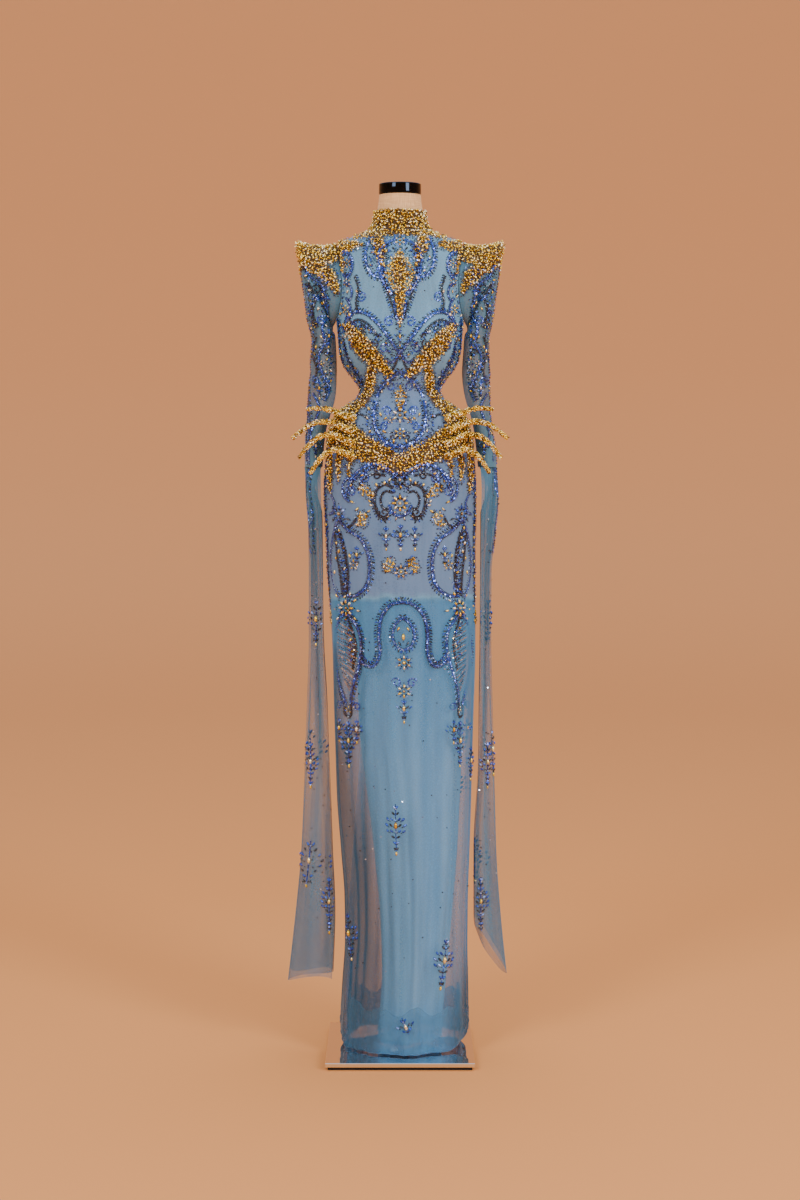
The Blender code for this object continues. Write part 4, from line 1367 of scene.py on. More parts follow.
@dataclass
class Sleeve:
    """A sleeve with a pointed head, from the armhole to an open cuff. Its seam runs down the inner side."""

    torso: Torso
    side: Side
    head: tuple[HeadRing, ...] = table(HeadRing, """
        7 162.5 46; 14 168.5 43; 19 178 38; 22.2 187.5 32; 27 148 35.5; 34 111 36.5; 45 80 37; 62 60 37""")
    arm: tuple[ArmRing, ...] = table(ArmRing, """
        1430 129.4 178 129 179 37 0; 1395 126.6 177.5 125.8 178.5 36.5 1; 1345 126 181 123.6 179 35 4;
        1300 129.5 184.5 130.5 180.5 33 8; 1268 139 187 140.5 182 32 11; 1240 147 190 147 185 31 13;
        1205 151.5 192 151.5 191.5 31 14; 1165 154.5 191.5 155.5 194.5 31 14""")
    armhole: tuple[float, float, float] = (1531.0, 79.5, 30.0)  # its middle, and half its height and angle
    armpit: tuple[float, float] = (133.2, 1446.0)
    armpit_run: tuple[float, float] = (0.4, -9.0)
    seam_off: float = 4.7  # from the figure to the sleeve's first ring
    wall: float = 0.6
    rows: int = 130
    columns: int = 61
    net: Net | None = None

    def rings(self) -> Array:
        """The sleeve's rings, from the armhole over the point of the head to the cuff."""
        turns = np.linspace(-math.pi, math.pi, self.columns)
        up = (1 + np.cos(turns)) / 2
        middle, half_height, half_angle = self.armhole
        angle = 90.0 - half_angle * np.sin(turns)
        height = middle + half_height * np.cos(turns)
        rings = [self.torso.bodice_point(angle, height, self.seam_off - self.torso.EASE)]
        for step, ring in enumerate(self.head):
            share = (step + 1) / len(self.head)
            tilt = math.radians(ring.tilt)
            x = self.armpit[0] + self.armpit_run[0] * share + math.sin(tilt) * ring.reach * up
            z = self.armpit[1] + self.armpit_run[1] * share + math.cos(tilt) * ring.reach * up
            rings.append(np.stack([x, -ring.half_depth * np.sin(turns), z], axis=-1))
        for ring in self.arm:
            inner = ring.inner_left if self.side is Side.LEFT else ring.inner_right
            outer = ring.outer_left if self.side is Side.LEFT else ring.outer_right
            x = inner + (outer - inner) * up
            y = ring.centre_y - ring.half_depth * np.sin(turns)
            rings.append(np.stack([x, y, np.full(self.columns, ring.height)], axis=-1))
        grid = np.array(rings)
        grid[..., 0] *= self.side.value
        return grid

    def build(self) -> None:
        """Builds the sleeve."""
        grid = smooth_rows(self.rings(), self.rows)
        turn = np.degrees(np.linspace(-math.pi, math.pi, self.columns))[None, :]
        middle = grid[..., 2].mean(axis=1)[:, None]
        slack = creased(turn, middle, SLEEVE_CREASES[self.side], 0.62) * ramp(middle, 1440, 1380)
        self.net = Net(grid, flip=self.side is Side.LEFT).pushed(self.wall + slack)
        x, y, z = np.moveaxis(self.net.points, -1, 0)
        worked = np.max(
            (
                cover(SHOULDER_GOLD, np.abs(x), z), cover(TIP_GOLD, np.abs(y), z) * (np.abs(x) > 170),
            cover(RIDGE_GOLD, np.abs(x), y) * (z > 1590)), axis=0)
        layers = np.interp(z, (1165, 1230, 1300, 1400, 1500), (1.5, 1.3, 0.9, 1.0, 1.25))
        node = f"sleeve_{self.side.word}"
        sew(
            f"{node}_tulle", self.net, "sleeve", node,
            worked, layers
        )


STREAMER_LAYERS = (  # how many layers lie at which height
    (150, 350, 550, 800, 1000, 1120, 1165), (1.0, 0.9, 0.45, 0.5, 0.85, 1.5, 2.2)
)
STREAMER_FOLDS = (  # where the panel lies folded over: middle and half width as shares of its width, and lean
    (0.12, 0.035, 0.020),
    (0.30, 0.022, -0.015),
    (0.52, 0.050, 0.030),
    (0.71, 0.020, 0.012),
    (0.86, 0.035, -0.018),
)


@dataclass
class Streamer:
    """The long folded panel that trails from a cuff."""

    side: Side
    sections: tuple[StreamerSection, ...]
    hem_rise: float  # how much shorter the inner edge is
    waves: float = 1.5
    gather: float = 90.0  # the length below the cuff in which the folds open
    wall: float = 0.6
    rows: int = 150
    columns: int = 110
    net: Net | None = None

    def build(self) -> None:
        """Builds the panel."""
        top, bottom = self.sections[0].height, self.sections[-1].height
        share = np.linspace(0, 1, self.columns)[None, :]
        fallen = np.linspace(0, 1, self.rows)[:, None]
        circle = 2 * math.pi
        hem = bottom + self.hem_rise * (0.5 + 0.5 * np.cos(circle * self.waves * share))
        hem = hem + 3 + 3 * np.sin(circle * 3.3 * share + self.side.value)
        height = top - (top - hem) * fallen
        gathered = np.maximum(0.0, 1 - (top - height) / self.gather)
        slant = 0.25 * np.sin(height / 190.0) * share * (1 - share)
        wave = 0.5 - 0.5 * np.cos(circle * self.waves * (share + slant))
        depth = gathered * np.sin(math.pi * share) + (1 - gathered) * wave
        pleat = np.sin(circle * (9 * share + 0.35 * np.sin(height / 240.0)))
        loose = np.clip((top - height) / 60, 0, 1) * np.clip(1.5 - (top - height) / 900, 0.35, 1)
        inner, outer, front, back = (line(height) for line in profiles(self.sections).values())
        x = inner + (outer - inner) * depth + 1.6 * pleat * loose
        y = front + (back - front) * share + 1.2 * np.cos(circle * 7 * share + height / 130.0) * loose
        grid = np.stack([self.side.value * x, y, height + 0 * x], axis=-1)
        self.net = Net(grid, flip=self.side is Side.LEFT).pushed(np.full(grid.shape[:2], self.wall))
        layers = np.interp(self.net.points[..., 2], *STREAMER_LAYERS)
        for middle, half_width, lean in STREAMER_FOLDS:
            off = np.abs(share - middle - lean * np.sin(height / 260.0))
            layers = layers + 0.7 * np.clip((half_width - off) / 0.007, 0, 1) * loose
        node, on = f"streamer_{self.side.word}", [f"sleeve_{self.side.word}_tulle"]
        sew(f"{node}_tulle", self.net, "streamer", node, 0.0, layers)


# Beads and stones


@dataclass(frozen=True)
class Bead:
    """The mesh of one bead, one unit wide, as flat arrays for copying."""

    points: Array
    corners: Array
    starts: Array


class BeadBox:
    """One modelled bead of each cut."""

    def __init__(self) -> None:
        """Models the beads."""
        self.beads = {
            ROUND_STONE: self.cut_stone(6, (1.0, 1.0), 0.42, 0.0),
            NAVETTE: self.cut_stone(6, (1.0, 0.5), 0.3, 0.5), SEED: self.cut_bicone(5, 0.4)}

    @staticmethod
    def kept(made: Object) -> Bead:
        """Reads a modelled bead into arrays and clears it away.

        Args:
            made: The modelled bead, one unit wide.

        Returns:
            Its mesh.
        """
        data = made.data
        points = np.zeros(len(data.vertices) * 3)
        data.vertices.foreach_get("co", points)
        corners = np.zeros(len(data.loops), int)
        data.loops.foreach_get("vertex_index", corners)
        starts = np.zeros(len(data.polygons), int)
        data.polygons.foreach_get("loop_start", starts)
        bpy.data.objects.remove(made)
        bpy.data.meshes.remove(data)
        return Bead(points.reshape(-1, 3), corners, starts)

    def cut_stone(self, sides: int, spread_xy: tuple[float, float], height: float, table: float) -> Bead:
        """Cuts a flat-backed stone: facets that rise from its edge to a table or to a point.

        Args:
            sides: How many facets go round.
            spread_xy: Its length and width.
            height: Its height.
            table: The table's share of the stone's width, or 0 for a point.

        Returns:
            The stone.
        """
        bpy.ops.object.select_all(action="DESELECT")
        bpy.ops.mesh.primitive_cone_add(
            vertices=sides, radius1=0.5, radius2=0.5 * table, depth=height, location=(0, 0, height / 2))
        stone = bpy.context.object
        bpy.ops.object.transform_apply(location=True)
        bpy.ops.object.mode_set(mode="EDIT")
        bpy.ops.mesh.select_all(action="SELECT")
        bpy.ops.transform.rotate(value=math.pi / 2, orient_axis="Z", center_override=(0, 0, 0))
        bpy.ops.transform.resize(value=(*spread_xy, 1), center_override=(0, 0, 0))
        bpy.ops.object.mode_set(mode="OBJECT")
        return self.kept(stone)

    def cut_bicone(self, sides: int, half_height: float) -> Bead:
        """Cuts a small bicone bead: two pyramids base to base.

        Args:
            sides: How many facets go round.
            half_height: The height of each pyramid.

        Returns:
            The bead.
        """
        bpy.ops.object.select_all(action="DESELECT")
        place = (0, 0, half_height)
        bpy.ops.mesh.primitive_circle_add(vertices=sides, radius=0.5, fill_type="TRIFAN", location=place)
        bead = bpy.context.object
        bpy.ops.object.transform_apply(location=True)
        for vertex in bead.data.vertices:
            vertex.select = vertex.co.xy.length < 0.1
        for face in bead.data.polygons:
            face.select = False
        bpy.ops.object.mode_set(mode="EDIT")
        bpy.ops.mesh.select_mode(type="VERT")
        bpy.ops.transform.translate(value=place)
        bpy.ops.mesh.select_all(action="SELECT")
        bpy.ops.mesh.duplicate()
        bpy.ops.transform.resize(value=(1, 1, -1), center_override=place)
        bpy.ops.mesh.select_all(action="SELECT")
        bpy.ops.mesh.remove_doubles(threshold=0.001)
        bpy.ops.mesh.normals_make_consistent(inside=False)
        bpy.ops.object.mode_set(mode="OBJECT")
        return self.kept(bead)


Taken = dict[tuple[int, int, int], list[Array]]


class Laid(NamedTuple):
    """Places on a cloth's outside."""

    points: Array
    normals: Array
    right: Array  # the way that the chart's first coordinate runs
    ok: Array  # whether the cloth is there at all


class Ground:
    """A cloth's outside with a flat chart in millimetres that beadwork is drawn on."""

    def point(self, u: Array, v: Array) -> Array:
        """Points in millimetres; not a number where there is no cloth."""
        raise NotImplementedError

    def lay(self, u: Array, v: Array) -> Laid:
        """Lays places of the chart on the cloth.

        Args:
            u: The chart's first coordinate.
            v: Its second one, which runs upwards.

        Returns:
            The places.
        """
        u, v = np.asarray(u, float), np.asarray(v, float)
        here = self.point(u, v)
        right = self.point(u + 1.2, v) - self.point(u - 1.2, v)
        up = self.point(u, v + 1.2) - self.point(u, v - 1.2)
        ok = np.isfinite(here + right + up).all(axis=-1)
        pairs = ((here, 0), (right, (1, 0, 0)), (up, (0, 0, 1)))
        here, right, up = (np.where(ok[:, None], known, usual) for known, usual in pairs)
        return Laid(here, unit(np.cross(right, up)), unit(right), ok)


@dataclass
class TorsoGround(Ground):
    """The bodice and the outer skirt, seen from the front or from the back."""

    torso: Torso
    back: bool = False
    low: float = 90.0
    high: float = 1636.0
    armhole: tuple[float, float, float] = (1531.0, 81.0, 31.5)  # its middle, and half its height and angle
    armpit: float = 1450.0  # below it the sleeve's seam is out of the way
    side_seam: float = 89.7

    def point(self, u: Array, v: Array) -> Array:
        """Points on the gown, none under the sleeves' seams.

        Args:
            u: The distance from the centre line.
            v: The height.

        Returns:
            Points in millimetres.
        """
        angle = self.torso.angle_at(-u if self.back else u, v, self.back)
        aside = np.abs(angle)
        aside = np.minimum(aside, 180 - aside)
        middle, half_height, half_angle = self.armhole
        up = np.clip(np.abs(v - middle) / half_height, 0, 1)
        clear = (aside < 90 - half_angle * np.sqrt(1 - up * up)) | (v < self.armpit)
        clear &= (v > self.low) & (v < self.high) & (np.abs(v - self.torso.WAIST) > 1.5)
        clear &= aside < self.side_seam
        points = self.torso.point(angle, v)
        return np.where(clear[:, None], points, np.nan)


@dataclass
class CollarGround(Ground):
    """The collar, whose first coordinate runs round it from centre front."""

    collar: Collar
    radius: float = 54.0

    def point(self, u: Array, v: Array) -> Array:
        """Points on the collar.

        Args:
            u: Distances round it from centre front.
            v: Heights.

        Returns:
            Points in millimetres, not a number past its edges.
        """
        angle = np.degrees(u / self.radius)
        points = self.collar.point(angle, v)
        return np.where(((np.abs(angle) < 178.5) & (v > 1637) & (v < 1677.5))[:, None], points, np.nan)


class View(Enum):
    """The side from which a chart is projected on a cloth."""

    FRONT = (0.0, 1.0, 0.0)
    BACK = (0.0, -1.0, 0.0)
    LEFT = (1.0, 0.0, 0.0)
    RIGHT = (-1.0, 0.0, 0.0)
    ABOVE = (0.0, 0.0, -1.0)

    @classmethod
    def of(cls, side: Side) -> View:
        """The view of a side's outside."""
        return cls[side.name]


class ProjectedGround(Ground):
    """A cloth that the drawing is projected on from one side, as with a stencil held in front of it."""

    def __init__(self, net: Net, view: View, turned: float = 0.3) -> None:
        """Sets up the cloth.

        Args:
            net: The cloth's net.
            view: The side that the drawing is projected from.
            turned: How squarely the cloth must face that side to be sewn on.
        """
        self.tree = BVHTree.FromPolygons(net.points.reshape(-1, 3).tolist(), net.quads().tolist())
        self.way = np.array(view.value)
        self.up = np.array([0.0, 1.0, 0.0] if view is View.ABOVE else [0.0, 0.0, 1.0])
        self.across = np.cross(self.way, self.up)
        self.turned = turned

    def point(self, u: Array, v: Array) -> Array:
        """The first points of the cloth behind places of the stencil.

        Args:
            u: The place across the stencil.
            v: The place up it.

        Returns:
            Points in millimetres.
        """
        found = np.full((len(u), 3), np.nan)
        way = Vector(self.way)
        for k in range(len(u)):
            start = self.across * u[k] - self.way * 2000 + self.up * v[k]
            hit, normal, _, _ = self.tree.ray_cast(Vector(start), way)
            if hit is not None and abs(normal.dot(way)) > self.turned:
                found[k] = hit
        return found


class BeadWork:
    """Beads of all cuts and colours on one cloth, joined into one piece."""

    def __init__(self, name: str, box: BeadBox, seed: int) -> None:
        """Starts the piece.

        Args:
            name: Its name.
            box: The modelled beads.
            seed: Seeds the unevenness of hand sewing.
        """
        self.name = name
        self.box = box
        self.rng = np.random.default_rng(seed)
        self.batches: list[tuple[Array, ...]] = []  # points, tones, corners, first corners and colours
        self.point_count = self.corner_count = 0

    def sew_on(
            self, laid: Laid, cut: Cut, colour: Colour, size: float | Array, turn: float | Array = 0.0,
            lift: float = 0.0, tilt: float = 0.2, tone: tuple[float, float] = (0.0, 1.0)) -> None:
        """Sews one bead on each place.

        Args:
            laid: The places.
            cut: The beads' cut.
            colour: Their colour.
            size: Their length in millimetres.
            turn: The way that they point, in radians from the chart's first coordinate.
            lift: How far they stand off the cloth.
            tilt: How unevenly they sit.
            tone: The range of their tones.
        """
        ok = laid.ok
        count = int(ok.sum())
        if not count:
            return
        bead = self.box.beads[cut]
        normal, right = laid.normals[ok], laid.right[ok]
        up = np.cross(normal, right)
        turn = np.broadcast_to(np.asarray(turn, float), ok.shape)[ok][:, None]
        size = np.broadcast_to(np.asarray(size, float), ok.shape)[ok]
        along = np.cos(turn) * right + np.sin(turn) * up
        lean = self.rng.normal(0, tilt, (count, 2))
        normal = unit(normal + lean[:, :1] * along + lean[:, 1:] * np.cross(normal, along))
        along = unit(along - np.sum(along * normal, axis=1, keepdims=True) * normal)
        aside = np.cross(normal, along)
        size = size * self.rng.uniform(0.88, 1.12, count)
        basis = np.stack([along, aside, normal], axis=1) * size[:, None, None]
        if cut is NAVETTE:
            basis[:, 2] *= 0.8
        points = (laid.points[ok] + laid.normals[ok] * lift)[:, None] + bead.points @ basis
        step = np.arange(count)[:, None]
        tones = np.repeat(self.rng.uniform(*tone, count), len(bead.points))
        corners = (bead.corners + self.point_count + step * len(bead.points)).ravel()
        starts = (bead.starts + self.corner_count + step * len(bead.corners)).ravel()
        colours = np.full(count * len(bead.starts), list(Colour).index(colour))
        self.batches.append((points.reshape(-1, 3), tones, corners, starts, colours))
        self.point_count += count * len(bead.points)
        self.corner_count += count * len(bead.corners)

    def build(self, slot: str, node: str = "") -> None:
        """Joins the beads into one piece.

        Args:
            slot: Not used.
            node: The solid that it replaces, if any.
        """
        points, tones, corners, starts, colours = (np.concatenate(parts) for parts in zip(*self.batches))
        data = bpy.data.meshes.new(self.name)
        data.vertices.add(len(points))
        data.vertices.foreach_set("co", (points * MM).ravel())
        data.loops.add(len(corners))
        data.loops.foreach_set("vertex_index", corners)
        data.polygons.add(len(starts))
        data.polygons.foreach_set("loop_start", starts)
        data.polygons.foreach_set("material_index", colours)
        data.attributes.new("tone", "FLOAT", "POINT").data.foreach_set("value", tones)
        data.update(calc_edges=True)
        data.validate()
        for colour in Colour:
            data.materials.append(shared(STONE_FINISHES[colour]))
        hang(in_scene(data), node)


def thin_out(points: Array, spacing: float, taken: Taken) -> Array:
    """Picks points that keep their distance from each other and from those already taken.

    Args:
        points: Candidates, best ones first.
        spacing: The least distance.
        taken: Points picked before, by cell; the new ones are added.

    Returns:
        Indices of the picked points.
    """
    picked, least = [], spacing * spacing
    cells = np.floor(points / spacing).astype(int)
    around = [(i, j, k) for i in (-1, 0, 1) for j in (-1, 0, 1) for k in (-1, 0, 1)]
    for index, (point, cell) in enumerate(zip(points, cells)):
        near = (taken.get((cell[0] + i, cell[1] + j, cell[2] + k), ()) for i, j, k in around)
        if all(np.dot(point - other, point - other) >= least for group in near for other in group):
            picked.append(index)
            taken.setdefault(tuple(cell), []).append(point)
    return np.array(picked, int)


def curve_through(stops: Sequence[tuple[float, float]], step: float) -> tuple[Array, Array]:
    """A smooth line through stops, walked in even steps.

    Args:
        stops: The stops.
        step: The step's length.

    Returns:
        The places and the direction at each, in radians.
    """
    given = np.array(stops, float)
    padded = np.concatenate([2 * given[:1] - given[1:2], given, 2 * given[-1:] - given[-2:-1]])
    t = np.linspace(0, 1, 24, endpoint=False)[:, None]
    pieces = []
    for a, b, c, d in zip(padded, padded[1:], padded[2:], padded[3:]):
        pieces.append(
            0.5 * (2 * b + (c - a) * t + (2 * a - 5 * b + 4 * c - d) * t * t + (3 * b - a - 3 * c + d) * t**3)
        )
    line = np.concatenate([*pieces, given[-1:]])
    travel = travelled(np.linalg.norm(np.diff(line, axis=0), axis=1))
    places = walk(line, travel, np.arange(0, travel[-1] + 1e-6, step))
    ways = np.gradient(places, axis=0) if len(places) > 1 else np.array([[1.0, 0.0]])
    return places, np.arctan2(ways[:, 1], ways[:, 0])


def beside(stops: Sequence[tuple[float, float]], step: float, off: float) -> tuple[Array, Array]:
    """Places in even steps beside a line, off to its left, and the line's direction at each."""
    places, ways = curve_through(stops, step)
    return places + np.stack([-np.sin(ways), np.cos(ways)], axis=1) * off, ways


class Heap(NamedTuple):
    """One kind of stone strewn over a field, and how much of the field's width gets it."""

    gap: float
    cut: Cut
    size: float
    lift: float
    share: float
    colour: Colour


GOLD_HEAPS = (
    Heap(4.5, ROUND_STONE, 5.2, 0.0, 1.0, GOLD), Heap(6.5, NAVETTE, 8.2, 2.2, 0.85, GOLD),
    Heap(9.4, ROUND_STONE, 5.6, 3.2, 0.5, GOLD))
DARK_HEAPS = (
    Heap(4.4, SEED, 2.8, 0.0, 1.0, BLACK), Heap(9.0, SEED, 3.6, 0.8, 0.9, BLUE),
    Heap(13.0, NAVETTE, 7.6, 1.0, 0.6, BLUE), Heap(19.0, NAVETTE, 8.4, 1.4, 0.5, GOLD))


@dataclass
class Needle:
    """Sews drawings on one ground. Each drawing is given on the chart's right half."""

    ground: Ground
    work: BeadWork
    signs: tuple[int, ...] = (1, -1)  # the chart's halves that get the drawing, as signs

    def put(self, u: Array, v: Array, turn: Array | float, mirrored: bool, **bead: object) -> None:
        """Sews beads at places of the chart and their mirrored places.

        Args:
            u: The first coordinates.
            v: The second ones.
            turn: The beads' directions.
            mirrored: Whether both halves get them.
            **bead: What BeadWork.sew_on takes.
        """
        u, v = np.atleast_1d(np.asarray(u, float)), np.atleast_1d(np.asarray(v, float))
        turn = np.broadcast_to(np.asarray(turn, float), u.shape)
        for sign in self.signs if mirrored else self.signs[:1]:
            ways = turn if sign > 0 else math.pi - turn
            self.work.sew_on(self.ground.lay(sign * u, v), turn=ways, **bead)

    def sew(self, drawing: Drawing) -> None:
        """Sews a whole drawing on.

        Args:
            drawing: The drawing.
        """
        self.heap(drawing.gold, GOLD_HEAPS)
        self.fringe(drawing.gold)
        self.heap(drawing.dark, DARK_HEAPS)
        for line in drawing.lines:
            self.line(line)
        for curl in drawing.curls:
            self.curl(curl)
        for flower in drawing.flowers:
            self.flower(flower)
        for sprig in drawing.sprigs:
            self.sprig(sprig)
        for leaf in drawing.leaves:
            self.leaf(leaf)
        for sprig in drawing.single:
            self.sprig(sprig, mirrored=False)

    def rope(
            self, stops: Sequence[tuple[float, float]], colour: Colour, size: float, mirrored: bool = True,
            edging: bool = True) -> None:
        """Two rows of beads side by side with small crystals on them and dark beads along both sides, which also
        paint the shade beside it.

        Args:
            stops: The line that they follow.
            colour: The beads' colour.
            size: The rope's width.
            mirrored: Whether both halves get it.
            edging: Whether it gets the dark beads.
        """
        size = size * 0.8
        bead = dict(cut=SEED, colour=colour, size=size * 0.72, tone=(0.1, 1.0))
        for row in (0.26, -0.26):
            self.put_beside(stops, size * 0.66, row * size, mirrored, **bead)
        light = CRYSTAL if colour is BLUE else BLUE
        bead = dict(cut=ROUND_STONE, colour=light, size=size * 0.5, lift=size * 0.5)
        self.put_beside(stops, size * 2.6, size * 0.1, mirrored, **bead)
        # The dark beads are real black beads that also stand in for painted shade along the rope.
        if edging:
            bead = dict(cut=SEED, colour=BLACK, size=size * 0.52)
            for row in (0.84, -0.84):
                self.put_beside(stops, size * 0.8, row * size, mirrored, **bead)

    def put_beside(
        self, stops: Sequence[tuple[float, float]], step: float, off: float, mirrored: bool, **bead: object
    ) -> None:
        """Sews beads in even steps beside a line.

        Args:
            stops: The line.
            step: The distance between two beads.
            off: How far from the line they lie, to its left.
            mirrored: Whether both halves get them.
            **bead: What BeadWork.sew_on takes.
        """
        places, ways = beside(stops, step, off)
        self.put(*places.T, ways, mirrored, **bead)

    def line(self, line: Line) -> None:
        """A rope, and its strokes where it has them."""
        self.rope(line.stops, line.colour, line.size)
        if line.off:
            self.strokes(line.stops, line.off * 0.92)

    def strokes(self, stops: Sequence[tuple[float, float]], off: float, spacing: float = 5.2) -> None:
        """Small leaning leaves along one side of a line, black and blue by turns.

        Args:
            stops: The line.
            off: How far from it their middles lie, to its left.
            spacing: The distance between them.
        """
        middles, ways = beside(stops, spacing, off)
        turns = ways + math.copysign(1.1, off)
        for k, colour in enumerate((BLACK, BLUE)):
            bead = dict(cut=NAVETTE, colour=colour, size=7.0, tilt=0.12)
            self.put(*middles[k::2].T, turns[k::2], True, **bead)

    def leaf(self, leaf: Leaf, mirrored: bool = True, lift: float = 0.8) -> None:
        """One navette stone with a dark bead at its foot.

        Args:
            leaf: The leaf.
            mirrored: Whether both halves get it.
            lift: How far it stands off the cloth.
        """
        bead = dict(cut=NAVETTE, colour=leaf.colour, size=leaf.length, tilt=0.08, tone=(0.3, 1.0))
        self.put(leaf.aside, leaf.height, leaf.turn, mirrored, lift=lift, **bead)
        ways = ((leaf.aside, math.cos), (leaf.height, math.sin))
        foot = (place - way(leaf.turn) * leaf.length * 0.6 for place, way in ways)
        self.put(*foot, 0.0, mirrored, cut=SEED, colour=BLACK, size=2.4)

    def flower(self, flower: Flower) -> None:
        """Petals round a stone, with dark beads between them.

        Args:
            flower: The flower.
        """
        turns = math.pi / 2 + np.arange(flower.petals) * 2 * math.pi / flower.petals
        mirrored = flower.aside != 0
        for radius, cut, colour, size, shift in (
                (0.66, NAVETTE, flower.petal, 0.62, 0.0),
                (0.52, SEED, BLACK, 0.24, math.pi / flower.petals),
                (0.8, SEED, BLUE, 0.22, math.pi / flower.petals), (1.08, SEED, BLACK, 0.16, 0.0)):
            way = turns + shift
            self.put(
                flower.aside + flower.radius * radius * np.cos(way),
                flower.height + flower.radius * radius * np.sin(way), way, mirrored, cut=cut, colour=colour,
                size=flower.radius * size, tilt=0.16, tone=(0.2, 1.0))
        heart = dict(cut=ROUND_STONE, colour=flower.heart, size=min(9.0, flower.radius * 0.5), lift=1.2)
        self.put(flower.aside, flower.height, 0.0, mirrored, **heart)

    def curl(self, curl: Curl) -> None:
        """A rope that winds inwards.

        Args:
            curl: The curl.
        """
        share = np.linspace(0, 1, max(8, int(abs(curl.turns) * 14)))
        angle = curl.start + curl.turns * 2 * math.pi * share
        reach = curl.radius * (1 - 0.78 * share)
        stops = list(zip(curl.aside + reach * np.cos(angle), curl.height + reach * np.sin(angle)))
        self.rope(stops, curl.colour, 3.6, edging=False)

    def sprig(self, sprig: Sprig, mirrored: bool = True) -> None:
        """A stem with paired leaves, a stone in its widest part and a bud at its end.

        Args:
            sprig: The sprig.
            mirrored: Whether both halves get it.
        """
        start = np.array([sprig.aside, sprig.height])
        along = np.array([math.cos(sprig.way), math.sin(sprig.way)])
        aside = np.array([-along[1], along[0]])
        mirrored = mirrored and sprig.aside != 0
        pairs = max(3, int(sprig.length / (sprig.leaf * 0.95)))
        for k in range(pairs):
            share = (k + 0.5) / pairs
            wide = sprig.leaf * (0.3 + 1.0 * math.sin(math.pi * min(1, share * 1.1)) ** 2)
            for sign in (1, -1):
                for reach, colour in ((0.62, (BLUE, BLACK)[k % 2]), (1.25, BLUE)):
                    if reach > 1 and wide < sprig.leaf:
                        continue
                    spot = start + along * sprig.length * share + aside * sign * wide * reach
                    turn = sprig.way + sign * (2.5 - 0.5 * share)
                    self.leaf(Leaf(spot[0], spot[1], turn, colour, sprig.leaf * 0.9), mirrored)
        stem = [tuple(start), tuple(start + along * sprig.length)]
        self.put_beside(stem, 2.8, 0.0, mirrored, cut=SEED, colour=BLUE, size=2.8)
        for far, long, lift in ((0.45 * sprig.length, 1.45, 1.6), (sprig.length + 4, 1.0, 0.0)):
            spot = start + along * far
            self.leaf(Leaf(spot[0], spot[1], sprig.way, GOLD, sprig.leaf * long), mirrored, lift)

    def net(self, heights: Sequence[float], near: Sequence[float], far: Sequence[float]) -> None:
        """Slanting rows of tiny beads between two edges, black and champagne by turns.

        Args:
            heights: Heights at which the edges are given, from the lowest.
            near: The edge nearer the centre line at those heights.
            far: The other edge.
        """
        for row, height in enumerate(np.arange(heights[-1] - 20, heights[0] + 4, -6.4)):
            start = float(np.interp(height, heights, near)) + 4
            end = float(np.interp(height, heights, far)) - 4
            bead = dict(cut=SEED, colour=(BLACK, CHAMPAGNE)[row % 2], size=2.4)
            self.put_beside([(start, height - 8), (end, height + 8)], 3.6, 0.0, True, **bead)

    def heap(self, bands: Sequence[Band], heaps: Sequence[Heap], ragged: float = 2.5) -> None:
        """Fills fields with stones set close, with larger ones heaped over them.

        Args:
            bands: The fields on the right half.
            heaps: The kinds of stones, the lowest first.
            ragged: How far the field's edge wanders.
        """
        for heap in heaps:
            taken: Taken = {}
            for (a, b), sign in product(stretches(bands), self.signs):
                u, v = self.scatter(a, b, ragged, 7 / heap.gap**2)
                inside = depth_in(((a, b),), u, v) + ragged * wander(u / 13, v / 13, 5)
                laid = self.picked(sign * u, v, (inside > (1 - heap.share) * 4) & (u > 0), heap.gap, taken)
                turn = self.work.rng.uniform(0, math.pi, len(laid.ok))
                self.work.sew_on(laid, heap.cut, heap.colour, heap.size, turn, heap.lift, tilt=0.3)

    def fringe(self, bands: Sequence[Band]) -> None:
        """Edges fields with small dark and blue beads.

        Args:
            bands: The fields on the right half.
        """
        taken: Taken = {}
        for (a, b), sign in product(stretches(bands), self.signs):
            u, v = self.scatter(a, b, 8.0, 0.17)
            depth = depth_in(bands, u, v)
            laid = self.picked(sign * u, v, (depth < -1) & (depth > -6) & (u > 0), 3.6, taken)
            dark = self.work.rng.random(len(laid.ok)) < 0.75
            for mask, colour, size in ((dark, BLACK, 2.8), (~dark, BLUE, 3.2)):
                self.work.sew_on(Laid(*(part[mask] for part in laid)), SEED, colour, size)

    def scatter(self, a: Stop, b: Stop, margin: float, density: float) -> tuple[Array, Array]:
        """Random places over one stretch of a field.

        Args:
            a: The stretch's first stop.
            b: Its second one.
            margin: How far past the field they go.
            density: How many to a square millimetre.

        Returns:
            Their two coordinates.
        """
        reach = max(a.half_width, b.half_width) + margin
        low = (min(a.aside, b.aside) - reach, min(a.height, b.height) - reach)
        high = (max(a.aside, b.aside) + reach, max(a.height, b.height) + reach)
        count = int((high[0] - low[0]) * (high[1] - low[1]) * density)
        rng = self.work.rng
        return rng.uniform(low[0], high[0], count), rng.uniform(low[1], high[1], count)

    def picked(self, u: Array, v: Array, keep: Array, gap: float, taken: Taken) -> Laid:
        """Lays places on the cloth and thins them out.

        Args:
            u: Their first coordinates.
            v: Their second ones.
            keep: Which of them count.
            gap: The least distance between two.
            taken: Those picked before, by cell.

        Returns:
            The places that stay.
        """
        laid = self.ground.lay(u[keep], v[keep])
        laid = Laid(*(part[laid.ok] for part in laid))
        chosen = thin_out(laid.points, gap, taken)
        return Laid(*(part[chosen] for part in laid))

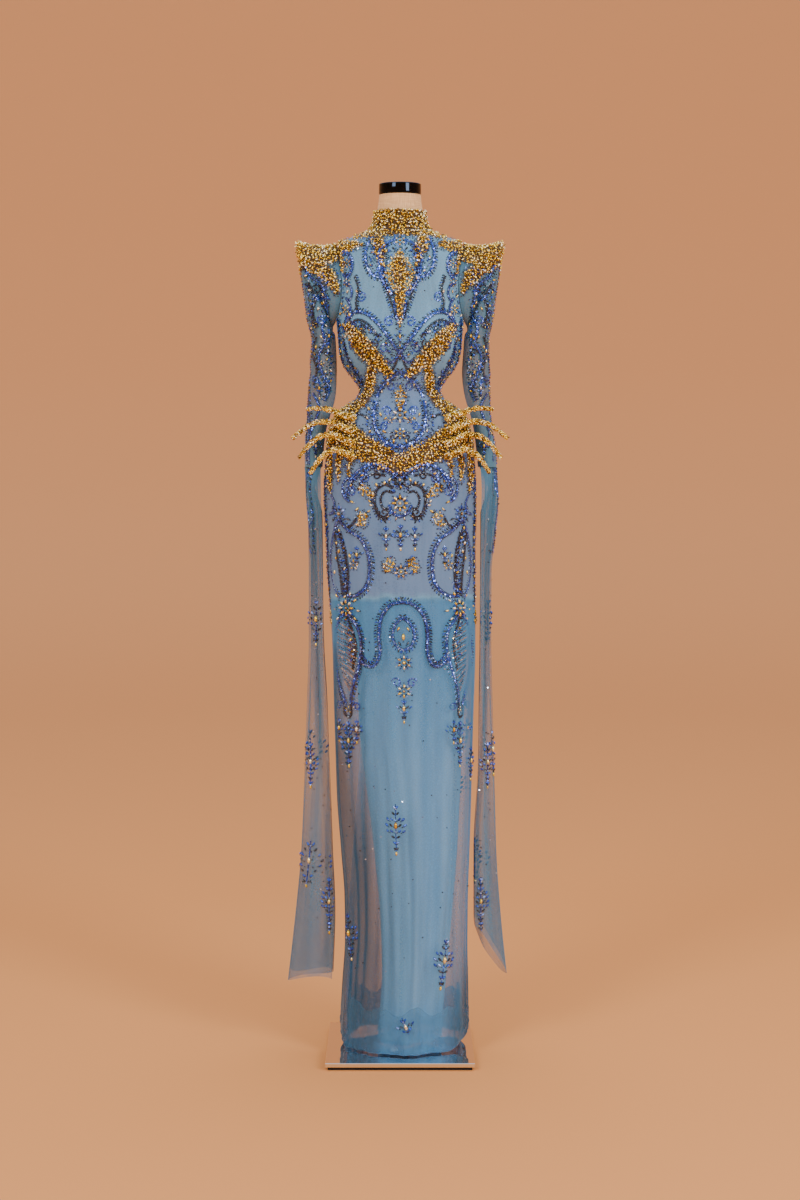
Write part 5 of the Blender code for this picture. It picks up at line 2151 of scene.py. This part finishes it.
    def speckle(self, low: tuple[float, float], high: tuple[float, float], count: int) -> None:
        """Scatters small dark beads with a few light ones over a part of the chart.

        Args:
            low: The lower corner of that part.
            high: Its upper corner.
            count: How many beads.
        """
        rng = self.work.rng
        u, v = rng.uniform(low[0], high[0], count), rng.uniform(low[1], high[1], count)
        light = rng.random(count) < 0.3
        for mask, colour in ((~light, BLACK), (light, CRYSTAL)):
            self.put(u[mask], v[mask], 0.0, False, cut=SEED, colour=colour, size=2.6)


STREAMERS = (
    (
        Side.LEFT,
        9.0,
        table(StreamerSection, """
            1164.7 158 191.5 -14 42; 1120 158 189 -20 46; 1040 156 182 -24 50; 950 154.5 180.5 -28 54;
            819 152.5 180.5 -32 58; 700 146 184 -34 60; 560 140 189 -36 62; 400 135 196.5 -38 64;
            270 130 209 -40 66; 141 134 223.5 -42 68"""),
    ),
    (
        Side.RIGHT,
        105.0,
        table(StreamerSection, """
            1164.7 160 194.5 -14 42; 1120 163 197 -20 46; 1040 162 190 -24 50; 950 161 181 -28 54;
            819 160 180.5 -32 58; 700 158.5 183 -34 60; 560 156 187 -36 62; 400 148 191.5 -38 64;
            270 148 201 -40 66; 148 162 213.5 -42 68"""),
    ),
)


# The beadwork of each piece


class Line(NamedTuple):
    """A rope of beads, with small leaning leaves off one side of it where off isn't 0."""

    colour: Colour
    stops: tuple[tuple[float, float], ...]
    off: float = 0.0
    size: float = 4.2

    @classmethod
    def along(cls, colour: Colour, off: float, size: float, *places: float) -> Line:
        """A line from its stops' x and z by turns."""
        return cls(colour, tuple(zip(places[::2], places[1::2])), off, size)


class Curl(NamedTuple):
    """A rope that winds inwards from its rim; its turns may be negative."""

    aside: float
    height: float
    radius: float
    start: float
    turns: float
    colour: Colour


class Flower(NamedTuple):
    """Petals round a stone."""

    aside: float
    height: float
    radius: float
    petals: int
    petal: Colour
    heart: Colour


class Sprig(NamedTuple):
    """A leafy sprig: where its stem starts, its length, its leaves' length and the way that it grows."""

    aside: float
    height: float
    length: float
    leaf: float = 8.0
    way: float = -math.pi / 2


class Leaf(NamedTuple):
    """One navette stone, turned from the level."""

    aside: float
    height: float
    turn: float
    colour: Colour = GOLD
    length: float = 9.0


@dataclass(frozen=True)
class Drawing:
    """Beadwork on the right half of a chart, mirrored to the left one. Single sprigs aren't mirrored."""

    gold: tuple[Band, ...] = ()
    dark: tuple[Band, ...] = ()
    lines: tuple[Line, ...] = ()
    curls: tuple[Curl, ...] = ()
    flowers: tuple[Flower, ...] = ()
    sprigs: tuple[Sprig, ...] = ()
    leaves: tuple[Leaf, ...] = ()
    single: tuple[Sprig, ...] = ()


BODICE_FRONT = Drawing(
    gold=FRONT_GOLD + FLAT_GOLD,
    dark=fields("""
        146 1476 5, 150 1432 13, 140 1392 17, 120 1356 14, 100 1326 11, 92 1304 8;
        126 1386 7, 108 1364 11, 92 1342 11, 84 1322 6; 126 1536 4, 124 1505 5, 134 1468 6;
        24 1600 4, 34 1572 4, 33 1540 4, 15 1500 4; 52 1606 4, 56 1570 5, 46 1548 4;
        0 1348 6, 22 1334 6, 36 1318 5; 78 1440 5, 52 1430 5, 30 1408 5, 12 1380 5"""),
    lines=table(Line.along, """
        blue -6 4.2, 9 1614, 26 1606, 41 1588, 40 1556, 31 1526, 14 1500;
        blue 6.5 4.8, 54 1618, 66 1598, 66 1566, 54 1544, 36 1537;
        black 5.5 3.4, 30 1530, 24 1508, 15 1482, 8 1460; blue 0 3.6, 12 1494, 10 1474, 5 1452; blue -6.5 5.2,
        132 1432, 114 1456, 92 1470, 70 1468, 48 1452, 27 1424, 5 1394;
        black 5 3.6, 120 1432, 98 1452, 78 1454, 58 1442, 42 1420; blue 0 4, 0 1396, 6 1380, 16 1371, 28 1378;
        black 0 3.4, 2 1388, 14 1358, 32 1348; blue 6.5 5, 0 1354, 12 1344, 28 1332, 41 1314, 45 1302;
        blue 5.5 4.8, 122 1592, 108 1590, 97 1574, 98 1554, 109 1540, 122 1548;
        blue 0 4.2, 118 1530, 104 1524, 99 1508, 106 1494, 116 1500;
        black -5 3.4, 92 1542, 84 1516, 90 1490, 84 1466; blue 0 4.2, 112 1496, 104 1482, 108 1464, 122 1458;
        blue -7 4.6, 154 1456, 160 1416, 149 1376, 128 1342, 112 1304;
        black -5 3.6, 136 1416, 122 1384, 102 1354, 92 1328; blue 0 4.2, 130 1402, 114 1374, 96 1348, 84 1330"""),
    curls=table(Curl, """
        36 1548 11 0.4 1.3 blue; 21 1450 11 2.4 -1.3 blue; 52 1406 10 1.8 1.2 black; 31 1398 10 2.6 -1.2 blue;
        76 1436 10 0.4 1.3 black; 77 1502 10 -1.2 -1.3 blue; 19 1324 10 0.6 1.2 blue; 96 1446 8 1.4 -1.2 blue;
        108 1404 9 0.6 1.2 blue; 142 1500 8 0.6 -1.2 blue"""),
    flowers=table(Flower, """
        0 1612 12 6 champagne gold; 110 1568 11 6 champagne gold; 112 1530 11 6 champagne crystal;
        118 1476 12 6 gold champagne; 0 1384 10 6 black champagne; 139 1420 9 5 gold champagne;
        114 1346 8 5 gold champagne"""),
    sprigs=table(Sprig, "106 1480 32 7; 0 1434 26 6.5"),
    leaves=table(Leaf, """
        13 1596 0.9 black; 21 1592 0.5 blue; 11 1606 1.3 blue; 132 1448 2.2; 126 1424 0.9; 118 1366 0.7;
        104 1340 1; 148 1396 1.2; 88 1512 1.2 champagne; 110 1512 1.9 champagne; 104 1466 1.4"""),
)

SKIRT_FRONT = Drawing(
    gold=FRONT_GOLD + FLAT_GOLD + fields("58 1112 7, 74 1126 9; 74 1068 10, 77 1058 9; 23 979 9, 26 970 8"),
    dark=fields("""
        54 1296 6, 62 1266 7, 58 1238 7, 40 1214 6, 0 1196 6; 22 1158 3, 52 1164 4, 84 1148 4, 100 1122 4;
        132 1050 4, 120 1010 6, 116 960 6, 119 916 6; 160 1200 9, 172 1150 9, 176 1090 8, 172 1020 8,
        170 950 7, 166 890 6; 0 1132 6, 14 1120 5; 118 880 10, 112 840 9, 108 790 6"""),
    lines=table(Line.along, """
        blue -6.5 5.2, 46 1298, 51 1270, 46 1240, 29 1216, 0 1204;
        black 0 3.8, 66 1264, 82 1270, 100 1264, 116 1262; blue -7 5.2, 4 1146, 26 1165, 54 1172, 84 1158,
        105 1130, 112 1102; black 0 3.6, 28 1150, 52 1153, 72 1142, 84 1122;
        blue 0 4.2, 60 1162, 72 1152, 78 1138, 69 1128; blue 0 4.2, 84 1150, 98 1138, 107 1144, 118 1130,
        116 1110, 102 1098; black 5.5 4.2, 14 1126, 29 1133, 45 1122, 50 1098, 41 1071, 28 1064, 25 1077;
        black 0 3.4, 16 1117, 29 1119, 38 1104, 33 1086, 22 1086; blue 0 4.8, 0 1070, 15 1077, 22 1092;
        blue -8.5 5.2, 130 1064, 106 1042, 80 1026, 64 996, 62 960, 70 932, 92 914, 114 912;
        black 0 4, 130 1062, 112 1048, 99 1052, 88 1066; blue -6.5 4.8, 134 1060, 149 1020, 156 980, 148 936,
        130 906; black 6 4.4, 126 1038, 114 996, 109 956, 113 912;
        black -6 4.4, 140 1038, 135 996, 128 956, 123 912; blue 8.5 5.2, 0 903, 22 897, 41 874, 48 840,
        47 804, 57 779, 75 777, 92 794; blue 6.5 4.4, 0 872, 15 858, 21 836, 14 816, 0 808; blue -7 5,
        113 876, 92 848, 86 812, 95 768, 108 726, 113 698; blue 7 5, 125 876, 143 846, 150 806, 143 762,
        130 720, 123 698; black 0 3.6, 118 872, 104 842, 99 808, 107 766;
        black 0 3.8, 113 698, 110 682, 118 672, 126 682, 123 698; blue 7 4.8, 170 1192, 181 1140, 178 1080,
        170 1020, 175 960, 168 896; black 0 3.8, 184 1180, 195 1130, 192 1070, 184 1010, 187 950;
        blue 0 4.2, 150 1110, 140 1094, 146 1076, 160 1072"""),
    curls=table(Curl, """
        31 1078 10 0.2 -1.3 black; 70 1144 10 1 1.2 blue; 46 1150 9 1.2 1.2 black; 99 1118 10 1.6 1.2 blue;
        110 930 10 2.4 -1.2 blue; 85 786 10 2.8 -1.2 blue; 15 744 10 0.4 1.2 blue; 98 694 9 0 1.3 blue;
        138 694 9 3.1 -1.3 blue; 26 1276 10 0.4 1.3 blue; 30 1246 9 2.6 -1.3 blue; 14 1226 9 0.9 1.2 black;
        164 1130 9 0.9 1.2 blue"""),
    flowers=table(Flower, """
        0 1268 17 6 gold champagne; 19 1258 8 5 champagne gold; 0 1232 13 6 gold champagne;
        10 1184 9 5 champagne gold; 0 1142 18 8 black champagne; 0 1096 18 8 gold gold;
        129 1074 18 6 blue champagne; 0 962 15 7 champagne gold; 118 888 19 8 gold champagne;
        0 784 16 6 champagne gold; 118 687 8 5 gold gold; 0 728 15 6 gold champagne;
        178 1212 14 6 champagne gold; 176 866 16 6 gold champagne; 96 974 12 5 gold champagne"""),
    sprigs=table(Sprig, """
        0 1054 44 9; 28 1050 40 8.5; 0 712 40 8.5; 118 664 84 9.5; 98 668 40 8; 138 668 40 8; 88 1010 34 8"""),
    leaves=table(Leaf, """
        46 1132 1.2; 57 1092 0.3; 62 1080 2.6; 60 1100 1; 20 1142 2; 97 1098 0.4; 86 1084 2.4; 30 1136 1.7;
        88 1054 0.5; 136 1016 1.2; 130 1000 1.9; 138 986 1.4; 142 958 1.7; 104 992 1.2; 31 1236 0.5;
        28 1262 2.4; 12 1218 1.6; 38 1270 1.2; 118 1052 1.5 black; 106 1064 0.4 black; 144 1086 0.9 black;
        144 1062 2.2 black; 90 884 0.1; 96 904 2.5; 106 916 2; 146 884 0.1; 138 912 0.9; 98 868 0.7;
        138 866 2.5; 10 1078 2.2 champagne 7; 24 1070 2.6 champagne 7; 8 1066 1.9 champagne 7; 9 850 2.1;
        0 834 1.57 gold 16; 8 822 1 black"""),
    single=table(Sprig, """
        -18 506 92 11; 82 240 92 11 -1.67; -128 282 84 10 -1.47; -4 92 40 10 -1.2; 150 610 60 8.5"""),
)

BODICE_BACK = Drawing(
    gold=BACK_GOLD,
    dark=fields("""
        140 1470 5, 140 1430 10, 128 1390 12, 108 1354 10, 94 1310 8; 16 1604 4, 20 1560 5, 12 1500 4"""),
    lines=table(Line.along, """
        blue 6.5 4.8, 11 1612, 32 1592, 42 1556, 33 1516, 14 1484;
        black 0 3.6, 20 1600, 32 1578, 32 1546, 24 1518;
        blue -7 5, 124 1448, 92 1430, 62 1394, 44 1352, 38 1304;
        black 5 3.8, 124 1426, 98 1404, 74 1370, 60 1330, 56 1304"""),
    curls=table(Curl, "56 1560 11 0.4 1.3 blue; 30 1450 11 2.4 -1.3 blue; 112 1388 9 0.6 1.2 blue"),
    flowers=table(Flower, "32 1470 12 6 champagne gold; 104 1350 11 6 gold champagne"),
    sprigs=table(Sprig, "18 1590 44 8; 18 1430 44 8; 88 1520 56 8.5; 26 1370 40 8"),
)

SKIRT_BACK = Drawing(
    gold=BACK_GOLD,
    dark=fields("160 1200 8, 172 1130 8, 170 1050 7, 172 960 7; 44 1290 5, 52 1250 6, 34 1208 5"),
    lines=table(Line.along, """
        blue -6.5 5, 38 1298, 50 1264, 44 1226, 14 1194; blue -7 5.2, 6 1150, 40 1166, 80 1172, 114 1150,
        126 1110, 112 1080; black 0 3.8, 30 1148, 74 1154, 100 1134, 106 1108;
        blue 7 5, 152 1150, 160 1080, 151 1010, 161 940, 150 876;
        black -5.5 3.8, 140 1130, 148 1070, 140 1010, 149 945;
        blue 8 5.2, 0 1004, 24 990, 40 950, 38 910, 56 882, 86 882;
        blue 7 4.8, 100 1040, 84 1004, 88 960, 104 930"""),
    curls=table(Curl, """
        94 1086 11 0.4 1.3 blue; 34 1130 10 0.6 1.2 black; 96 894 11 2.4 -1.2 blue; 24 1236 10 0.4 1.3 blue"""),
    flowers=table(Flower, """
        18 1262 13 6 gold champagne; 78 1120 16 6 gold champagne; 152 1176 15 6 champagne gold;
        158 858 20 8 gold champagne; 0 940 15 6 gold champagne"""),
    sprigs=table(Sprig, """
        0 1126 60 9.5; 52 1100 48 9; 0 900 70 9.5; 112 1010 56 9; 70 850 70 9.5; 130 830 70 9.5"""),
    leaves=table(Leaf, "30 1116 0.6; 92 1140 2.2; 122 1060 1.2; 60 960 1.9; 134 900 0.8"),
    single=table(Sprig, "40 540 90 11; -70 330 90 11; 128 640 80 10.5; -120 560 80 10"),
)

SLEEVE = Drawing(
    gold=SHOULDER_GOLD,
    dark=fields("""
        150 1556 7, 150 1508 9, 144 1450 8; 186 1548 5, 180 1490 7, 174 1430 7, 172 1380 6;
        146 1420 5, 140 1370 7, 144 1320 6"""),
    lines=table(Line.along, """
        blue 6 4.2, 188 1566, 177 1544, 160 1532, 149 1513, 160 1496, 171 1506;
        black 5 3.6, 182 1532, 168 1502, 173 1470, 162 1442; blue 0 4, 148 1504, 143 1470, 154 1444, 149 1414;
        blue 6 3.8, 150 1410, 161 1384, 154 1352, 141 1322, 150 1296;
        black 0 3.4, 166 1424, 174 1392, 165 1360, 172 1328; blue 0 3.8, 173 1312, 161 1286, 169 1256,
        178 1230, 169 1204; blue 0 3.2, 184 1290, 187 1250, 188 1210, 186 1176"""),
    curls=table(Curl, """
        165 1518 10 0.5 1.2 black; 157 1456 9 2 -1.2 blue; 146 1392 8 0 1.2 black; 167 1340 8 1 -1.2 blue;
        178 1470 7 0 1.2 blue"""),
    flowers=table(Flower, """
        160 1550 10 5 champagne gold; 147 1530 10 5 champagne crystal; 172 1448 9 5 gold champagne;
        156 1370 8 5 champagne gold"""),
    sprigs=table(Sprig, "142 1440 32 6.5; 160 1336 30 6.5; 168 1222 32 6.5"),
    leaves=table(Leaf, "150 1492 1.2; 162 1480 2; 156 1424 1; 166 1404 1.9; 148 1354 1.3"),
)


@dataclass
class TorsoWork:
    """The beadwork on the front or the back of the bodice or the outer skirt."""

    name: str
    drawing: Drawing
    low: float
    high: float
    seed: int
    net_edges: tuple[tuple[float, ...], ...] = ()  # heights, near edge and far edge of a bead net

    def build(self, torso: Torso, box: BeadBox) -> None:
        """Sews it on.

        Args:
            torso: The gown's body surface.
            box: The modelled beads.
        """
        work = BeadWork(self.name, box, self.seed)
        needle = Needle(TorsoGround(torso, "back" in self.name, self.low, self.high), work)
        needle.sew(self.drawing)
        if self.net_edges:
            needle.net(*self.net_edges)
        low, tall = max(self.low, 160), self.high - 20 - max(self.low, 160)
        needle.speckle((-175, low), (175, low + tall), int(tall / 8))
        work.build("beaded_tulle")


TORSO_WORK = (
    TorsoWork("bodice_front_beads", BODICE_FRONT, 1300.6, 1636, 22),
    TorsoWork(
        "skirt_front_beads", SKIRT_FRONT, 60, 1299.4, 23,
    ((728, 770, 812, 848, 876), (113, 100, 91, 97, 116), (127, 139, 146, 139, 122))),
    TorsoWork("bodice_back_beads", BODICE_BACK, 1300.6, 1636, 24),
    TorsoWork("skirt_back_beads", SKIRT_BACK, 90, 1299.4, 25))


@dataclass
class CollarStones:
    """The stones heaped over the collar, up past its upper edge."""

    collar: Collar

    def build(self, box: BeadBox) -> None:
        """Sews them on.

        Args:
            box: The modelled beads.
        """
        work = BeadWork("collar_stones", box, 21)
        needle = Needle(CollarGround(self.collar), work)
        needle.heap(fields("0 1657 22, 168 1657 22"), GOLD_HEAPS)
        work.build("gold_stones")


@dataclass
class SleeveWork:
    """The stones on a pointed shoulder and the beadwork down the sleeve."""

    sleeve: Sleeve
    spine: tuple[tuple[float, float], ...] = (
        (0, 1572), (-3, 1500), (2, 1430), (-2, 1360), (4, 1300), (10, 1250), (13, 1170))
    spine_flowers: tuple[float, ...] = (1536, 1462, 1392, 1318, 1240)

    def build(self, box: BeadBox) -> None:
        """Sews it on from the front, the back and the outer side.

        Args:
            box: The modelled beads.
        """
        side = self.sleeve.side
        work = BeadWork(f"sleeve_{side.word}_beads", box, 30 + side.value)
        for view, sign in ((View.FRONT, side.value), (View.BACK, -side.value)):
            Needle(ProjectedGround(self.sleeve.net, view, 0.12), work, (sign,)).sew(SLEEVE)
        outer = Needle(ProjectedGround(self.sleeve.net, View.of(side)), work, (1,))
        outer.heap(TIP_GOLD, GOLD_HEAPS)
        Needle(ProjectedGround(self.sleeve.net, View.ABOVE), work, (side.value,)).heap(RIDGE_GOLD, GOLD_HEAPS)
        outer.line(Line(BLUE, self.spine, 7.0, 4.4))
        outer.strokes(self.spine, off=-7.0)
        for height in self.spine_flowers:
            outer.flower(Flower(0, height, 11, 6, GOLD, CHAMPAGNE))
        work.build("beaded_tulle")


@dataclass
class StreamerWork:
    """A beaded edge, single sprigs and tiny beads on a trailing panel."""

    streamer: Streamer

    def build(self, box: BeadBox) -> None:
        """Sews them on.

        Args:
            box: The modelled beads.
        """
        side = self.streamer.side
        left = side is Side.LEFT
        work = BeadWork(f"streamer_{side.word}_beads", box, 40 + side.value)
        front = Needle(ProjectedGround(self.streamer.net, View.FRONT, 0.05), work, (side.value,))
        outer = Needle(ProjectedGround(self.streamer.net, View.of(side), 0.15), work, (1,))
        front.sprig(Sprig(178 if left else 174, 616, 84, 9.0))
        front.sprig(Sprig(140 if left else 160, 350, 104, 9.0))
        for aside, height in ((14, 900), (-8, 640), (20, 420)):
            outer.sprig(Sprig(aside, height, 84, 10.0))
        edge = ((2, 1162), (-2, 1120), (4, 1070), (0, 1020), (4, 990))
        outer.line(Line(BLUE, edge, 6.0, 4.0))
        front.speckle((150, 260), (185, 1100), 36)
        outer.speckle((-30, 260), (50, 1100), 40)
        work.build("blue_tulle")


class SprayLine(NamedTuple):
    """The line of a stone spray: where it is rooted and leaves the skirt, its tip and how it bows."""

    name: str
    root_angle: float
    root_height: float
    leave_angle: float
    leave_height: float
    tip_x: float
    tip_y: float
    tip_height: float
    bow: float


@dataclass
class HipSprays:
    """The wired stone sprays that stand off each hip in front of the sleeves."""

    torso: Torso
    sprays: tuple[SprayLine, ...] = (
        SprayLine("upper", 40, 1262, 62, 1272, 184, -62, 1279, 6),
        SprayLine("outer", 38, 1236, 60, 1252, 212, -68, 1222, 15),
        SprayLine("middle", 36, 1211, 57, 1229, 199, -76, 1184, 16),
        SprayLine("lower", 36, 1186, 54, 1201, 176, -84, 1154, 11))
    off: float = 10.3  # from the skirt to the middle of the spray
    root_radius: float = 6.0
    tip_radius: float = 2.8

    def middle_line(self, spray: SprayLine) -> Array:
        """Points along the middle of a spray on the right hip.

        Args:
            spray: The spray.

        Returns:
            Points in millimetres, from the root to the tip.
        """
        share = np.linspace(0, 1, 40)
        angle = spray.root_angle + (spray.leave_angle - spray.root_angle) * share
        height = spray.root_height + (spray.leave_height - spray.root_height) * share
        level = level_normals(self.torso.skirt_point, angle, height)
        out = level * self.off / np.sum(level * level, axis=1)[:, None]
        seated = self.torso.skirt_point(angle, height) + out
        share = np.linspace(0, 1, 60)[1:, None]
        free = seated[-1] + (np.array([spray.tip_x, spray.tip_y, spray.tip_height]) - seated[-1]) * share
        rise = spray.bow * np.sin(math.pi * share[:, 0])
        free[:, 1] -= 0.6 * rise
        free[:, 2] += rise
        return np.concatenate([seated, free])

    def build(self, box: BeadBox) -> None:
        """Builds every spray on both hips.

        Args:
            box: The modelled beads.
        """
        for side in Side:
            for number, spray in enumerate(self.sprays):
                node = f"hip_spray_{spray.name}_{side.word}"
                work = BeadWork(f"{node}_stones", box, 60 + number + 10 * side.value)
                line = self.middle_line(spray) * (side.value, 1, 1)
                self.set_stones(work, line, ROUND_STONE, 0.5, 1.1, 6.6)
                self.set_stones(work, line, NAVETTE, 1.0, 0.8, 9.8)
                work.build("gold_stones", node)

    def set_stones(
            self, work: BeadWork, line: Array, cut: Cut, reach: float, step: float, size: float) -> None:
        """Sets stones all round a line, smaller and closer to it towards the tip.

        Args:
            work: The spray's beadwork.
            line: The spray's middle line.
            cut: The stones' cut.
            reach: How far out they stand, as a share of the spray's radius.
            step: The mean distance between them along the line.
            size: Their length at the root.
        """
        travel = travelled(np.linalg.norm(np.diff(line, axis=0), axis=1))
        count = int(travel[-1] / step)
        stations = np.sort(work.rng.uniform(0, travel[-1], count))
        share = (stations / travel[-1])[:, None]
        spots = [walk(line, travel, stations + ahead) for ahead in (-1, 0, 1)]
        way = unit(spots[2] - spots[0])
        level = unit(np.cross(way, (0.0, 0.0, 1.0)))
        turn = np.arange(count)[:, None] * 2.4
        out = np.cos(turn) * level + np.sin(turn) * np.cross(level, way)
        uneven = work.rng.uniform(0.7, 1.15, (count, 1))
        radius = (self.root_radius + (self.tip_radius - self.root_radius) * share) * reach * uneven
        laid = Laid(spots[1] + out * radius, out, way, np.ones(count, bool))
        sizes = size * (1 - 0.28 * share[:, 0])
        work.sew_on(laid, cut, GOLD, sizes, work.rng.normal(0, 0.8, count), tilt=0.45)


@dataclass
class Studio:
    """The camera where the photograph was taken from, a pale floor and soft lights."""

    lens: float = 64.5
    sensor: float = 36.0
    shift_y: float = -0.1417
    place: tuple[float, float, float] = (0.0, -4.3, 1.239)
    flat_radius: float = 5.4
    sweep: tuple[tuple[float, float], ...] = (
        (6.2, 0.05), (6.9, 0.2), (7.5, 0.5), (8.0, 0.95), (8.35, 1.6), (8.6, 2.5), (8.75, 3.6), (8.8, 5.0)
    )  # radius and height of the paper sweep behind the floor, in metres

    def build(self) -> None:
        """Sets up the camera, the floor, the lights and the sky."""
        self.build_camera()
        self.build_floor()
        self.build_lights()

    def build_camera(self) -> None:
        """Adds the camera."""
        data = bpy.data.cameras.new("photo_camera")
        data.sensor_fit = "VERTICAL"
        data.sensor_width = data.sensor_height = self.sensor
        data.lens = self.lens
        data.shift_y = self.shift_y
        camera = in_scene(data)
        camera.location = self.place
        camera.rotation_euler = (math.pi / 2, 0, 0)
        bpy.context.scene.camera = camera

    def build_floor(self) -> None:
        """Adds the pale floor, swept up into a wall all round like background paper, with painted light on it."""
        bpy.ops.object.select_all(action="DESELECT")
        bpy.ops.mesh.primitive_circle_add(vertices=128, radius=self.flat_radius, fill_type="NGON")
        floor = bpy.context.object
        floor.name = "studio_floor"
        bpy.ops.object.mode_set(mode="EDIT")
        bpy.ops.mesh.select_mode(type="EDGE")
        bpy.ops.mesh.select_all(action="SELECT")
        bpy.ops.mesh.region_to_loop()
        radius, height = self.flat_radius, 0.0
        for next_radius, next_height in self.sweep:
            bpy.ops.mesh.extrude_edges_move(TRANSFORM_OT_translate={"value": (0, 0, next_height - height)})
            grow = next_radius / radius
            bpy.ops.transform.resize(value=(grow, grow, 1), center_override=(0, 0, 0))
            radius, height = next_radius, next_height
        bpy.ops.object.mode_set(mode="OBJECT")
        bpy.ops.object.shade_smooth()
        # Painted light: the paper is painted darker and more saturated near the middle and paler up the wall.
        made, tree, shader = start_material("matt_paper_painted_falloff")
        place = add_node(tree, "TexCoord").outputs["Object"]
        out = add_node(tree, "VectorMath", {"operation": "LENGTH"}, {0: place}).outputs["Value"]
        share = add_node(tree, "MapRange", {"From Min": 1.5, "From Max": 7.5}, {"Value": out})
        tone = add_node(tree, "ValToRGB", {"stops": ((0.0, "#E19B5E"), (1.0, "#ECB17B"))}, {"Fac": share})
        set_node(shader, {"Roughness": 0.85, "Specular IOR Level": 0.1}, {"Base Color": tone})
        floor.data.materials.append(made)

    def build_lights(self) -> None:
        """Adds three broad soft boxes and an even sky."""
        world = bpy.data.worlds.new("studio_air")
        world.use_nodes = True
        set_node(world.node_tree.nodes["Background"], {"Color": linear("#EEF0F6"), "Strength": 1.0})
        bpy.context.scene.world = world
        for name, place, aim, size, power in (
            ("key_softbox", (-2.4, -3.6, 3.2), (0, 0, 1.1), (1.4, 1.8), 108),
            ("fill_softbox", (2.8, -3.2, 2.4), (0, 0, 0.9), (1.3, 1.8), 122),
            ("top_softbox", (0.2, 0.9, 3.9), (0, 0, 1.0), (2.2, 1.6), 30),
        ):
            data = bpy.data.lights.new(name, "AREA")
            data.shape = "RECTANGLE"
            data.size, data.size_y = size
            data.energy = power
            lamp = in_scene(data)
            lamp.location = place
            lamp.rotation_euler = (Vector(aim) - Vector(place)).to_track_quat("-Z", "Y").to_euler()


def save_sizes() -> None:
    """Brings the view layer up to date."""
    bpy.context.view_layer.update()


def main() -> None:
    """Builds the studio, the form and the gown, piece by piece."""
    logging.basicConfig(level=logging.INFO, format="%(name)s: %(message)s")
    Studio().build()
    torso = Torso()
    DressForm(torso).build()
    Stand().build()
    Bodice(torso).build()
    collar = Collar()
    collar.build()
    inner = InnerSkirt(torso)
    Skirt(torso, inner).build()
    inner.build()
    sleeves = {side: Sleeve(torso, side) for side in Side}
    for sleeve in sleeves.values():
        sleeve.build()
    streamers = {side: Streamer(side, sections, rise) for side, rise, sections in STREAMERS}
    for streamer in streamers.values():
        streamer.build()
    box = BeadBox()
    CollarStones(collar).build(box)
    for work in TORSO_WORK:
        work.build(torso, box)
    for sleeve in sleeves.values():
        SleeveWork(sleeve).build(box)
    for streamer in streamers.values():
        StreamerWork(streamer).build(box)
    HipSprays(torso).build(box)
    save_sizes()


if __name__ == "__main__":
    main()
